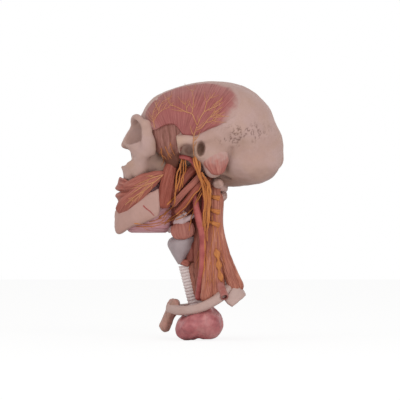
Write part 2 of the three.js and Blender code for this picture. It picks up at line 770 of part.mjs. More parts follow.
// The first neck bone: a ring with a wing on each side
function atlasSolid(grow) {
  const archSize = { width: atlas.archWidth, depth: atlas.archDepth };
  return onBothSides(join([
    strap(neckRoute(atlas.wingShares), atlas, { facing: upward, grow, dome: domeShare }),
    strap(neckRoute(atlas.backArchShares), archSize, { facing: upward, grow, sides: muscleSides }),
    strap(neckRoute(atlas.frontArchShares), archSize, { facing: upward, grow, sides: muscleSides }),
  ]));
}

function axisSolid(grow) {
  const archSize = { width: axis.archWidth, depth: axis.archDepth };
  return onBothSides(join([
    ellipsoid(neckPoint(axis.body.placeShares), axis.body, { grow }),
    strap(neckRoute(axis.wingShares), axis, { facing: upward, grow, dome: domeShare }),
    strap(neckRoute(axis.backArchShares), archSize, { facing: forward, grow, sides: muscleSides }),
  ]));
}

function columnSolid(grow) {
  const route = neckRoute(column.routeShares);
  const waistOrBone = (_, i) => (i % 2 === 0 ? column.waistShare : 1);
  const shares = Array.from({ length: column.bones * 2 + 1 }, waistOrBone);
  const body = strap(route, column, { facing: forward, widthShares: shares, depthShares: shares, grow });
  const curve = new THREE.CatmullRomCurve3(route);
  const spines = [];
  for (let bone = 0; bone < column.bones; bone++) {
    const root = curve.getPointAt((bone + 1 / 2) / column.bones);
    const tip = root.clone().add(neckPoint(columnSpineShares));
    spines.push(tube([root, root.clone().lerp(tip, 1 / 2), tip], column.spineRadius, grow));
  }
  return join([body, ...spines]);
}

// The space that the column's bodies need, without their waists
function columnClearance() {
  return strap(neckRoute(column.routeShares), column, { facing: forward, grow: fitGap });
}

// The windpipe's outer form, ridged by its rings, with a bore in its cut end
function windpipeSolid() {
  const profile = [new THREE.Vector2(0, 0)];
  const pitch = windpipe.length / windpipe.rings;
  for (let ring = 0; ring < windpipe.rings; ring++) {
    const start = -ring * pitch;
    const crest = windpipe.radius;
    const valley = crest - windpipe.ringRise;
    profile.push(new THREE.Vector2(valley, start));
    profile.push(new THREE.Vector2(crest, start - pitch / 4));
    profile.push(new THREE.Vector2(crest, start - pitch * 3 / 4));
  }
  profile.push(new THREE.Vector2(windpipe.radius - windpipe.ringRise, -windpipe.length));
  profile.push(new THREE.Vector2(0, -windpipe.length));
  const boreLength = windpipe.boreDepth + overrun;
  const bore = new THREE.CylinderGeometry(windpipe.bore, windpipe.bore, boreLength, turnedSides);
  bore.translate(0, -windpipe.length + (windpipe.boreDepth - overrun) / 2, 0);
  return placedOnLean(new THREE.LatheGeometry(profile, turnedSides)).subtract(placedOnLean(bore));
}

function windpipeClearance() {
  const radius = windpipe.radius + fitGap;
  const rod = new THREE.CylinderGeometry(radius, radius, windpipe.length + fitGap * 2, turnedSides);
  rod.translate(0, -windpipe.length / 2, 0);
  return placedOnLean(rod);
}

// A form turned about its own Y axis, set upright and leaned along the windpipe
function placedOnLean(geometry) {
  geometry.rotateX(Math.PI / 2);
  geometry.rotateY(-windpipe.lean);
  const top = neckPoint(windpipeTopShares);
  geometry.translate(top.x, top.y, top.z);
  return solidFromGeometry(geometry);
}

function ringMuscleSolid(grow) {
  const high = ringMuscle.height + grow;
  const wide = ringMuscle.radius + grow;
  const waist = wide * ringMuscle.waistShare;
  const profile = [
    new THREE.Vector2(0, high), new THREE.Vector2(waist, high), new THREE.Vector2(wide, high / 2),
    new THREE.Vector2(waist, fitGap - grow), new THREE.Vector2(0, fitGap - grow),
  ];
  return placedOnLean(new THREE.LatheGeometry(profile, turnedSides));
}

function ribSolid(grow) {
  const widthShares = firstRibWidthShares;
  return strap(neckRoute(firstRib.routeShares), firstRib, { facing: upward, widthShares, grow });
}

function secondRibSolid(grow) {
  return strap(neckRoute(secondRib.routeShares), { width: secondRib.height, depth: secondRib.depth }, {
    widthShares: secondRibHeightShares, grow,
  });
}

function breastBoneSolid(grow) {
  return strap(neckRoute(breastBone.routeShares), { width: breastBone.breadth, depth: breastBone.depth }, {
    facing: forward, widthShares: breastBoneBreadthShares, grow, sides: lungSides,
  });
}

// The cut top of a lung: two lobes and a blunt peak, flat where the model stands
function lungSolid(grow) {
  const topShape = { widthShares: lungTopWidthShares, grow, dome: domeShare };
  const lobes = join([
    ellipsoid(neckPoint(frontLobe.placeShares), frontLobe, { grow }),
    ellipsoid(neckPoint(backLobe.placeShares), backLobe, { grow }),
    strap(neckRoute(lungTop.routeShares), lungTop, topShape),
  ]);
  const below = new THREE.BoxGeometry(neckDepth, neckBreadth, neckHeight);
  below.translate(0, -neckBreadth / 2, -neckHeight / 2);
  return lobes.subtract(solidFromGeometry(below));
}

function carotidSolid(grow) {
  const trunk = tube(neckRoute(carotid.routeShares), carotid.radius, grow);
  return trunk.add(tube(neckRoute(innerCarotid.routeShares), innerCarotid.radius, grow));
}

function armArterySolid(grow) {
  const route = neckRoute(armArtery.routeShares);
  const solid = tube(route, armArtery.radius, grow);
  if (grow > 0) return solid;
  const end = route.at(-1);
  const way = end.clone().sub(route.at(-2)).normalize();
  const bore = [
    end.clone().addScaledVector(way, -armArtery.boreDepth),
    end.clone(),
    end.clone().addScaledVector(way, overrun),
  ];
  return solid.subtract(tube(bore, armArtery.bore));
}

function rootsSolid(grow) {
  const bands = rootBand.heightShares.map((up) => {
    const start = neckPoint([...rootBand.startShares, up]);
    const end = start.clone().add(new THREE.Vector3(rootBand.length, 0, -rootBand.drop));
    return strap([start, end], rootBand, { grow, sides: tubeSides });
  });
  return join([tube(neckRoute(rootTrunk.routeShares), rootTrunk.radius, grow), ...bands]);
}

function armNerveSolid(grow) {
  return strap(neckRoute(armNerve.routeShares), armNerve, {
    widthShares: armNerveWidthShares, grow, sides: tubeSides, dome: domeShare,
  });
}

// A nerve that forks, from one tube for each branch
function forkedTubes(placeOf, radius, routes, grow) {
  return join(routes.map((shares) => tube(shares.map(placeOf), radius, grow)));
}

const branchesOf = (nerve) => [nerve.mainShares, nerve.sideShares];

// A place on the temple muscle, given by its shares back and up
function onTemple([back, up]) {
  const lift = temple.seat + temple.thickness + templeNerve.radius + fitGap;
  return onBraincase(headPoint([back, 0, up]), lift);
}

function templeNerveSolid(grow) {
  const { stemShares, frontShares, topShares, backShares } = templeNerve;
  return forkedTubes(onTemple, templeNerve.radius, [stemShares, frontShares, topShares, backShares], grow);
}

// A place at a height above the left side of the braincase
function onBraincase(place, lift) {
  return new THREE.Vector3(place.x, -craniumForm.halfBreadth(place.x, place.z, lift), place.z);
}

// The fan-shaped temple muscle as a sheet that lies on the braincase
function templeSolid(grow) {
  const flatPoint = ([back, up]) => headPoint([back, 0, up]);
  const edgeCurve = (shares) => new THREE.CatmullRomCurve3(shares.map(flatPoint));
  const lower = edgeCurve(temple.lowerShares);
  const upper = edgeCurve(temple.upperShares);
  const outer = [];
  const inner = [];
  for (let row = 0; row <= temple.rows; row++) {
    const v = row / temple.rows;
    const places = Array.from({ length: temple.columns + 1 }, (_, column) => {
      const u = column / temple.columns;
      const place = lower.getPoint(u).lerp(upper.getPoint(u), v);
      const fan = (1 - (2 * u - 1) ** templeFade.along) * (1 - (2 * v - 1) ** templeFade.across);
      return { place, thickness: temple.edge + (temple.thickness - temple.edge) * fan };
    });
    outer.push(places.map(({ place, thickness }) => onBraincase(place, temple.seat + thickness + grow)));
    inner.push(places.map(({ place }) => onBraincase(place, temple.seat)));
  }
  return shellBody(outer, inner).subtract(craniumKnobs(fitGap));
}

// The round muscle of the mouth with its two lips and the slit between them
function lipsSolid(grow) {
  const route = arch(headRoute(lips.routeShares), headPoint(lips.middleShares));
  const pad = archStrap(route, { width: lips.height, depth: lips.depth }, lipsHeightShares, grow);
  const roundMouth = (up) => arch(
    lips.rollShares.map(([back, out]) => headPoint([back, out, up])),
    headPoint([lips.rollMiddleShare, 0, up]),
  );
  const rolls = lips.rollUpShares.map((up) => tube(roundMouth(up), lips.lipRadius, grow));
  const mouth = join([pad, ...rolls]);
  if (grow > 0) return mouth;
  const slitSize = { width: lips.slit, depth: lips.slitDepth };
  return mouth.subtract(archStrap(roundMouth(lips.slitUpShare), slitSize, evenShares, 0));
}

function styloidSolid(grow) {
  const routes = [styloid.backShares, styloid.frontShares].map(headRoute);
  return join(routes.map((route) => strap(route, styloid, { grow, sides: muscleSides })));
}

function cheekMuscleSolid(grow) {
  const shape = { widthShares: cheekMuscleWidthShares, grow, sides: muscleSides };
  return join([
    strap(headRoute(cheekMuscle.upperShares), cheekMuscle.upper, shape),
    strap(headRoute(cheekMuscle.lowerShares), cheekMuscle.lower, shape),
  ]);
}

// A way to build a strap in the head or in the neck, for the plan below
const strapIn = (routeOf) => (size, widthShares = evenShares) => (grow) => (
  strap(routeOf(size.routeShares), size, { widthShares, grow, sides: muscleSides })
);
const headStrap = strapIn(headRoute);
const neckStrap = strapIn(neckRoute);

// Pieces in order: each one is cut back to clear the ones before it
const plan = [
  { name: 'cranium', look: boneLook, build: craniumSolid },
  { name: 'facial_bones', look: boneLook, build: faceSolid },
  { name: 'cheek_bone', look: boneLook, pair: true, build: cheekBoneSolid },
  { name: 'mandible', look: boneLook, build: jawSolid },
  { name: 'atlas', look: boneLook, build: atlasSolid },
  { name: 'axis', look: boneLook, build: axisSolid },
  { name: 'cervical_column', look: boneLook, build: columnSolid, clear: columnClearance },
  { name: 'hyoid', look: boneLook, build: hyoidSolid },
  { name: 'first_rib', look: boneLook, pair: true, build: ribSolid },
  { name: 'second_rib', look: boneLook, pair: true, build: secondRibSolid },
  { name: 'manubrium', look: boneLook, build: breastBoneSolid },
  {
    name: 'thyroid_cartilage', look: cartilageLook,
    build: (grow) => levelBody(shieldLevelShares, neckPoint, grow),
  },
  { name: 'trachea', look: cartilageLook, build: windpipeSolid, clear: windpipeClearance },
  { name: 'cricothyroid_muscle', look: muscleLook, build: ringMuscleSolid },
  { name: 'carotid', look: arteryLook, pair: true, build: carotidSolid },
  {
    name: 'maxillary_artery', look: arteryLook, pair: true,
    build: (grow) => tube(headRoute(jawArtery.routeShares), jawArtery.radius, grow),
  },
  { name: 'subclavian_artery', look: arteryLook, pair: true, build: armArterySolid },
  { name: 'temporalis', look: muscleLook, pair: true, liesOn: 'cranium', build: templeSolid },
  {
    name: 'deep_temporalis', look: muscleLook, pair: true,
    build: headStrap(deepTemple, deepTempleWidthShares),
  },
  { name: 'cheek_muscle', look: muscleLook, pair: true, build: cheekMuscleSolid },
  { name: 'lip_muscle', look: muscleLook, build: lipsSolid },
  { name: 'styloid_muscles', look: muscleLook, pair: true, build: styloidSolid },
  { name: 'medial_pterygoid', look: muscleLook, pair: true, build: headStrap(innerWing) },
  { name: 'sternomastoid_stump', look: muscleLook, pair: true, build: headStrap(stump, stumpWidthShares) },
  {
    name: 'thyrohyoid', look: muscleLook, pair: true,
    build: neckStrap(shieldMuscle, shieldMuscleWidthShares),
  },
  { name: 'scalene_muscle', look: muscleLook, pair: true, build: neckStrap(scalene, scaleneWidthShares) },
  { name: 'levator_scapulae', look: muscleLook, pair: true, build: neckStrap(levator) },
  { name: 'mouth_floor', look: muscleLook, build: (grow) => levelBody(mouthLevelShares, headPoint, grow) },
  { name: 'pharynx', look: muscleLook, build: (grow) => levelBody(throatLevelShares, neckPoint, grow) },
  {
    name: 'oesophagus', look: muscleLook,
    build: (grow) => strap(neckRoute(gullet.routeShares), gullet, { facing: forward, grow }),
  },
  {
    name: 'vagus_nerve', look: nerveLook, pair: true,
    build: (grow) => tube(neckRoute(longNerve.routeShares), longNerve.radius, grow),
  },
  { name: 'cervical_nerve_roots', look: nerveLook, pair: true, build: rootsSolid },
  { name: 'brachial_plexus', look: nerveLook, pair: true, build: armNerveSolid },
  {
    name: 'mandibular_nerve', look: nerveLook, pair: true,
    build: (grow) => forkedTubes(headPoint, jawNerve.radius, branchesOf(jawNerve), grow),
  },
  {
    name: 'hypoglossal_nerve', look: nerveLook, pair: true,
    build: (grow) => forkedTubes(neckPoint, tongueNerve.radius, branchesOf(tongueNerve), grow),
  },
  { name: 'temporal_nerve', look: nerveLook, pair: true, build: templeNerveSolid },
  { name: 'lung_apex', look: lungLook, pair: true, build: lungSolid },
];

function cornersOf(solid) {
  const { vertProperties } = solid.getMesh();
  const box = new THREE.Box3();
  const corner = new THREE.Vector3();
  for (let i = 0; i < vertProperties.length; i += 3) {
    box.expandByPoint(corner.fromArray(vertProperties, i));
  }
  return box;
}

function largestBody(solid) {
  return solid.decompose().reduce((best, body) => (body.volume() > best.volume() ? body : best));
}

function geometryOf(solid, flipSide) {
  const { vertProperties, triVerts } = solid.getMesh();
  const geometry = new THREE.BufferGeometry();
  geometry.setAttribute('position', new THREE.BufferAttribute(Float32Array.from(vertProperties), 3));
  geometry.setIndex(Array.from(triVerts));
  if (flipSide) {
    geometry.scale(1, -1, 1);
    geometry.index.array.reverse();
  }
  geometry.computeVertexNormals();
  return geometry;
}

// The same solid on the other side of the head
function mirroredSolid(solid) {
  return solidFromGeometry(geometryOf(solid, true));
}

const model = new THREE.Group();
const clearances = [];

for (const { name, look, pair = false, liesOn, build, clear = () => build(fitGap) } of plan) {
  let solid = build(0);
  const reach = cornersOf(solid);
  for (const earlier of clearances) {
    if (earlier.name !== liesOn && earlier.box.intersectsBox(reach)) solid = solid.subtract(earlier.solid);
  }
  solid = largestBody(solid);
  const grown = clear();
  clearances.push({ name, solid: grown, box: cornersOf(grown) });
  if (pair) {
    const other = mirroredSolid(grown);
    clearances.push({ name, solid: other, box: cornersOf(other) });
  }
  for (const [ending, flipSide] of pair ? [['_left', false], ['_right', true]] : [['', false]]) {
    const material = new THREE.MeshStandardMaterial({ ...look, metalness: 0 });
    const mesh = new THREE.Mesh(geometryOf(solid, flipSide), material);
    mesh.name = name + ending;
    model.add(mesh);
  }
}

// The origin lies on the base, under the middle of the whole
const whole = new THREE.Box3().setFromObject(model);
model.position.set(-(whole.min.x + whole.max.x) / 2, 0, -whole.min.z);

export default model;
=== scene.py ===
# Looks for a dissected head and neck in natural size.
# Places in tables are (back, out, up) shares of the head's or the neck's frame. Sizes are millimetres.

import math

import bpy
import numpy as np
from mathutils.bvhtree import BVHTree
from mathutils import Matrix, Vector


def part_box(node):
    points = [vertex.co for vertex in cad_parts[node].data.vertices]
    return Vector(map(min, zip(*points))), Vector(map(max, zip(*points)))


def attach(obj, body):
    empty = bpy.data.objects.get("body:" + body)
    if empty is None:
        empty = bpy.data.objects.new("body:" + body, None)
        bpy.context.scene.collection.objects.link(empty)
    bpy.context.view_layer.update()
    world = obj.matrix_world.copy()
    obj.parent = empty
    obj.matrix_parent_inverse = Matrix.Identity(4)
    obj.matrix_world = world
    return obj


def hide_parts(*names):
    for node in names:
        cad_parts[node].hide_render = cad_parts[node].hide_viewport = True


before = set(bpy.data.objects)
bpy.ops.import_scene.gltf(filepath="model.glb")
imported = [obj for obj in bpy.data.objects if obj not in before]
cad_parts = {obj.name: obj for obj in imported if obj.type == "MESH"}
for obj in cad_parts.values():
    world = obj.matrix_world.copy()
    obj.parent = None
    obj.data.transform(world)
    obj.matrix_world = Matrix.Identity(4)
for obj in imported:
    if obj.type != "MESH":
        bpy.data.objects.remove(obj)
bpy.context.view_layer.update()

MM = 0.001
OUTWARD, UPWARD, FORWARD = (0.0, -1.0, 0.0), (0.0, 0.0, 1.0), (-1.0, 0.0, 0.0)

# The head's frame is centred on the ear canal, the neck's on the base
EAR_HEIGHT, VAULT_RISE, FACE_DROP = 232, 84, 103
FACE_REACH, BACK_REACH, HEAD_BREADTH = 100, 104, 145
NECK_HEIGHT, NECK_DEPTH, NECK_BREADTH = 200, 100, 100
CHIN_SHARE, JAW_DEPTH = 0.99, 11
SHIFT = np.array([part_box("mandible")[0].x / MM + CHIN_SHARE * FACE_REACH + JAW_DEPTH / 2, 0, 0])

# Shift of the fibre pattern from one seed to the next, and length of a tube's steps
SEED_SHIFT, TUBE_STEP = 37.0, 1.2


def head(back, out, up):
    return np.array([
        back * (FACE_REACH if back < 0 else BACK_REACH), -out * HEAD_BREADTH / 2,
        EAR_HEIGHT + up * (FACE_DROP if up < 0 else VAULT_RISE),
    ])


def neck(back, out, up):
    return np.array([back * NECK_DEPTH, -out * NECK_BREADTH, up * NECK_HEIGHT])


def exact(*millimetres):
    return np.array(millimetres, float)


def routed(frame_of, places):
    return np.array([frame_of(*place) for place in places])


def arch(points, middle):
    """A route round the front, from left to right."""
    return [*points, middle, *(points[::-1] * [1, -1, 1])]


def normalised(vectors):
    return vectors / np.maximum(np.linalg.norm(vectors, axis=-1, keepdims=True), 1e-9)


def smooth_rise(value, start, end):
    t = np.clip((value - start) / (end - start), 0, 1)
    return t * t * (3 - 2 * t)


def profile(shares, count):
    """Shares eased from one to the next over a count of places."""
    if len(shares) == 1:
        return np.full(count, shares[0], float)
    place = np.linspace(0, 1, count) * (len(shares) - 1)
    index = np.minimum(place.astype(int), len(shares) - 2)
    rest = place - index
    blend = rest * rest * (3 - 2 * rest)
    values = np.asarray(shares, float)
    return values[index] * (1 - blend) + values[index + 1] * blend


def smooth(points, count, closed=False):
    """A smooth line through points, as evenly spaced places."""
    points = np.asarray(points, float)
    if closed:
        padded = np.vstack([points[-1:], points, points[:2]])
    else:
        padded = np.vstack([2 * points[0] - points[1], points, 2 * points[-1] - points[-2]])
    parts = []
    for a, b, c, d in zip(padded, padded[1:], padded[2:], padded[3:]):
        t1 = np.linalg.norm(b - a) ** 0.5
        t2 = t1 + np.linalg.norm(c - b) ** 0.5
        t3 = t2 + np.linalg.norm(d - c) ** 0.5
        t = np.linspace(t1, t2, 24, endpoint=False)[:, None]
        a1 = (t1 - t) / t1 * a + t / t1 * b
        a2 = (t2 - t) / (t2 - t1) * b + (t - t1) / (t2 - t1) * c
        a3 = (t3 - t) / (t3 - t2) * c + (t - t2) / (t3 - t2) * d
        b1 = (t2 - t) / t2 * a1 + t / t2 * a2
        b2 = (t3 - t) / (t3 - t1) * a2 + (t - t1) / (t3 - t1) * a3
        parts.append((t2 - t) / (t2 - t1) * b1 + (t - t1) / (t2 - t1) * b2)
    parts.append(padded[-2][None])
    line = np.vstack(parts)
    length = np.concatenate([[0], np.cumsum(np.linalg.norm(np.diff(line, axis=0), axis=1))])
    at = np.linspace(0, length[-1], count)
    return np.column_stack([np.interp(at, length, line[:, axis]) for axis in range(line.shape[1])])


def paced(route, step, least, samples=60):
    """A smooth line along a route, with its points about a step apart, and their distances along it."""
    length = np.linalg.norm(np.diff(smooth(route, samples), axis=0), axis=1).sum()
    line = smooth(route, max(int(length / step), least))
    return line, np.linspace(0, 1, len(line)) * length


def wavy(route, amount, seed):
    line = smooth(route, max(len(route) * 3, 7))
    jitter = np.random.default_rng(seed).normal(size=line.shape) * amount
    jitter[0] = jitter[-1] = 0
    return line + jitter


def noise(points, seed, wave, octaves=3):
    """Smooth seeded noise from turned waves, about -1 to 1."""
    rng = np.random.default_rng(seed)
    total = 0
    for octave in range(octaves):
        for _ in range(7):
            way = rng.normal(size=3)
            way *= 2 * math.pi / (wave * rng.uniform(0.8, 1.3) / 2 ** octave) / np.linalg.norm(way)
            total = total + 0.5 ** octave / 2.2 * np.sin(points @ way + rng.uniform(0, 7))
    return total


class Form:
    """Points with quads and triangles, texture places in millimetres, and marks for the colours."""

    def __init__(self, points, quads, quad_uv=None, tris=None, tri_uv=None, marks=None):
        self.points, self.quads = points, quads
        self.tris = np.zeros((0, 3), int) if tris is None else tris
        self.quad_uv = np.zeros((len(quads), 4, 2)) if quad_uv is None else quad_uv
        self.tri_uv = np.zeros((len(self.tris), 3, 2)) if tri_uv is None else tri_uv
        self.marks = np.zeros((len(points), 3)) if marks is None else marks

    def turned(self):
        """The same form with its faces the other way round."""
        return Form(self.points, self.quads[:, ::-1], self.quad_uv[:, ::-1],
                    self.tris[:, ::-1], self.tri_uv[:, ::-1], self.marks)

    def mirrored(self):
        form = self.turned()
        form.points = self.points * [1, -1, 1]
        return form

    def normals(self):
        a, b, c, d = (self.points[self.quads[:, i]] for i in range(4))
        face = np.cross(c - a, d - b)
        total = np.zeros_like(self.points)
        for i in range(4):
            np.add.at(total, self.quads[:, i], face)
        return normalised(total)

    def swell(self, rise):
        """Moves the points along their normals."""
        self.points = self.points + self.normals() * np.reshape(rise, (-1, 1))


def merged(forms):
    starts = np.cumsum([0] + [len(f.points) for f in forms[:-1]])
    return Form(
        np.vstack([f.points for f in forms]), np.vstack([f.quads + s for f, s in zip(forms, starts)]),
        np.vstack([f.quad_uv for f in forms]), np.vstack([f.tris + s for f, s in zip(forms, starts)]),
        np.vstack([f.tri_uv for f in forms]), np.vstack([f.marks for f in forms]),
    )


def facing_out(form):
    """A closed form with its faces turned round if it has its inside out."""
    corners = form.points[form.quads[:, [0, 1, 2, 0, 2, 3]]].reshape(-1, 3, 3)
    a, b, c = np.vstack([corners, form.points[form.tris]]).transpose(1, 0, 2)
    return form.turned() if np.einsum("ij,ij->i", a, np.cross(b, c)).sum() < 0 else form


def grid_form(rings, along, perimeter=1.0, tips=(), marks=None):
    """A form through rings of points; a tip at either end makes it a closed body."""
    rows, columns = rings.shape[:2]
    row, column = np.indices((rows - 1, columns if tips else columns - 1))
    corners = ((row, column), (row, column + 1), (row + 1, column + 1), (row + 1, column))
    quads = np.stack([r * columns + c % columns for r, c in corners], -1).reshape(-1, 4)
    u = np.arange(columns + 1) / columns * perimeter
    quad_uv = np.stack([np.stack([u[c], along[r]], -1) for r, c in corners], 2).reshape(-1, 4, 2)
    points = rings.reshape(-1, 3)
    marks = np.zeros(points.shape) if marks is None else marks.reshape(-1, 3)
    if not tips:
        return Form(points, quads, quad_uv, marks=marks)
    tris, tri_uv = [], []
    for tip, end in zip(tips, (0, rows - 1)):
        ring = end * columns + np.arange(columns)
        fan = np.stack([np.full(columns, len(points)), ring, np.roll(ring, -1)], -1)
        tris.append(fan if end else fan[:, [0, 2, 1]])
        tri_uv.append(np.repeat(np.stack([u[:-1], np.full(columns, along[end])], -1)[:, None], 3, axis=1))
        points, marks = np.vstack([points, tip]), np.vstack([marks, marks[ring[0]]])
    return facing_out(Form(points, quads, quad_uv, np.vstack(tris), np.vstack(tri_uv), marks))


def place(name, form, paint, slot, *nodes):
    """Makes one piece in a named material, which stands for its CAD nodes."""
    mesh = bpy.data.meshes.new(name)
    points = (form.points + SHIFT) * MM
    mesh.from_pydata(points.tolist(), [], form.quads.tolist() + form.tris.tolist())
    uv = np.concatenate([form.quad_uv.reshape(-1, 2), form.tri_uv.reshape(-1, 2)])
    mesh.uv_layers.new(name="fibres").data.foreach_set("uv", uv.astype(np.float32).ravel())
    marks = np.column_stack([form.marks, np.ones(len(form.points))]).astype(np.float32)
    mesh.color_attributes.new("marks", "FLOAT_COLOR", "POINT").data.foreach_set("color", marks.ravel())
    mesh.polygons.foreach_set("use_smooth", np.ones(len(mesh.polygons), bool))
    mesh.materials.append(PAINTS[paint])
    mesh.update()
    piece = bpy.data.objects.new(name, mesh)
    bpy.context.scene.collection.objects.link(piece)
    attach(piece, "root")
    if nodes:
        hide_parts(*nodes)


def place_pair(name, form, paint, slot, node=None):
    for side, one in (("left", form), ("right", form.mirrored())):
        place(f"{name}_{side}", one, paint, slot, *([f"{node}_{side}"] if node else []))


def bundles(u, v, seed, count, depth):
    """Relief of lengthwise bundles, with u from 0 to 1 round and v along in millimetres."""
    rng = np.random.default_rng(seed)
    wander = sum(
        0.5 / count * np.sin(2 * math.pi * (k * u + v / length) + phase)
        for k, length, phase in zip(rng.integers(1, 5, 4), rng.uniform(40, 110, 4), rng.uniform(0, 7, 4))
    )
    coarse = np.abs(np.sin(math.pi * count * (u + wander)))
    fine = np.abs(np.sin(math.pi * count * 3 * (u + wander * 1.3) + 0.7 * np.sin(v / 9)))
    return depth * (coarse + 0.35 * fine - 0.8)


def frames(line, facing):
    """Directions along a line, across and out; its breadth stands upright if it faces nowhere."""
    way = normalised(np.gradient(line, axis=0))
    if facing is None:
        across = np.broadcast_to(UPWARD, way.shape)
        return way, across, normalised(np.cross(way, across))
    across = normalised(np.cross(way, np.broadcast_to(np.asarray(facing, float), way.shape)))
    return way, across, normalised(np.cross(across, way))


def rounded(along, reach, least):
    """Shares that close a body's ends in round caps."""
    to_end = np.minimum(along, along[-1] - along)
    return np.maximum(np.sqrt(np.clip(1 - (1 - np.clip(to_end / reach, 0, 1)) ** 2, 0, 1)), least)


def around(sides, square=1.0, start=0.0):
    """Shares round a section, and its cosines and sines, which a low square pushes into corners."""
    share = np.arange(sides) / sides
    angle = start + share * 2 * math.pi
    return share, *(np.sign(w) * np.abs(w) ** square for w in (np.cos(angle), np.sin(angle)))


def strap(route, width, depth, facing=OUTWARD, widths=(1,), depths=(1,), sides=112, step=1.4,
          square=1.0, cap=0.6, relief=None, seed=1, tint=(0, 0, 0)):
    """A muscle, flat bone or flat nerve along a route, with its broad side facing out."""
    line, along = paced(route, step, 12)
    _, across, out = frames(line, facing)
    ease = rounded(along, cap * depth, 0.06)
    half_width = (width / 2 * profile(widths, len(line)) * ease)[:, None, None]
    half_depth = (depth / 2 * profile(depths, len(line)) * ease)[:, None, None]
    share, c, s = around(sides, square, -math.pi / 2)
    side_way, out_way = across[:, None] * c[:, None], out[:, None] * s[:, None]
    rings = line[:, None] + side_way * half_width + out_way * half_depth
    if relief:
        normal = normalised(side_way / np.maximum(half_width, 1e-3) + out_way / np.maximum(half_depth, 1e-3))
        rise = bundles(share[None], along[:, None], seed, *relief) * ease[:, None]
        rings = rings + normal * rise[:, :, None]
    # Marks for the paint: tints, and painted shade on deep straps
    marks = np.broadcast_to(np.array(tint, float), rings.shape)
    perimeter = math.pi * (width + depth) / 2
    return grid_form(rings, along + seed * SEED_SHIFT, perimeter, (line[0], line[-1]), marks)


def tube(route, radius, radii=(1,), sides=14, relief=None, seed=1, round_ends=True):
    """A round vessel or nerve along a route."""
    line, along = paced(route, TUBE_STEP, 6)
    way = normalised(np.gradient(line, axis=0))
    first = np.cross(way[0], OUTWARD)
    if np.linalg.norm(first) < 0.1:
        first = np.cross(way[0], UPWARD)
    sideways = [normalised(first)]
    for ahead in way[1:]:
        sideways.append(normalised(sideways[-1] - ahead * np.dot(sideways[-1], ahead)))
    sideways = np.array(sideways)
    size = (radius * profile(radii, len(line)) * (rounded(along, radius, 0.1) if round_ends else 1))[:, None]
    share, c, s = around(sides)
    if relief:
        size = size + bundles(share[None], along[:, None], seed, *relief)
    section = sideways[:, None] * c[:, None] + np.cross(way, sideways)[:, None] * s[:, None]
    rings = line[:, None] + section * size[:, :, None]
    return grid_form(rings, along + seed * SEED_SHIFT, 2 * math.pi * radius, (line[0], line[-1]))


def open_tube(route, radius, wall, depth, sides=36, seed=1):
    """A tube with an open end that one can look into."""
    rings = tube(route, radius, sides=sides, seed=seed, round_ends=False).points[:-2].reshape(-1, sides, 3)
    centre = rings.mean(axis=1)
    back = int(depth / TUBE_STEP)
    inner = (centre[:, None] + (rings - centre[:, None]) * (1 - wall / radius))[::-1][:back]
    whole = np.concatenate([rings, inner])
    marks = np.zeros(whole.shape)
    # Painted shade on the inner wall, darker deeper in
    marks[len(rings):, :, 1] = np.linspace(0.35, 1, back)[:, None]
    tips = (centre[0], inner[-1].mean(0))
    return grid_form(whole, np.arange(len(whole)) * TUBE_STEP, 2 * math.pi * radius, tips, marks)


def level_form(levels, frame_of, sides=120, steps=70, square=1.0, relief=None, seed=1):
    """A body through oval levels given by front, back, half breadth and height shares."""
    rows = []
    for front, back, half, up in levels:
        (x0, _, z), (x1, _, _) = frame_of(front, 0, up), frame_of(back, 0, up)
        rows.append([(x0 + x1) / 2, z, (x1 - x0) / 2, abs(frame_of(front, half, up)[1])])
    middle, height, length, breadth = (column[:, None] for column in smooth(rows, steps).T)
    share, c, s = around(sides, square)
    along = np.linspace(0, 1, steps) * np.ptp(height)
    grow = bundles(share[None], along[:, None], seed, *relief) if relief else 0
    x, y = middle + c * (length + grow), s * (breadth + grow)
    rings = np.stack([x, y, np.broadcast_to(height, x.shape)], axis=-1)
    tips = (rings[0].mean(0), rings[-1].mean(0))
    return grid_form(rings, along, math.pi * (length + breadth).mean(), tips)


def blend_min(a, b, soft):
    overlap = np.maximum(soft - np.abs(a - b), 0) / soft
    return np.minimum(a, b) - overlap * overlap * soft / 4


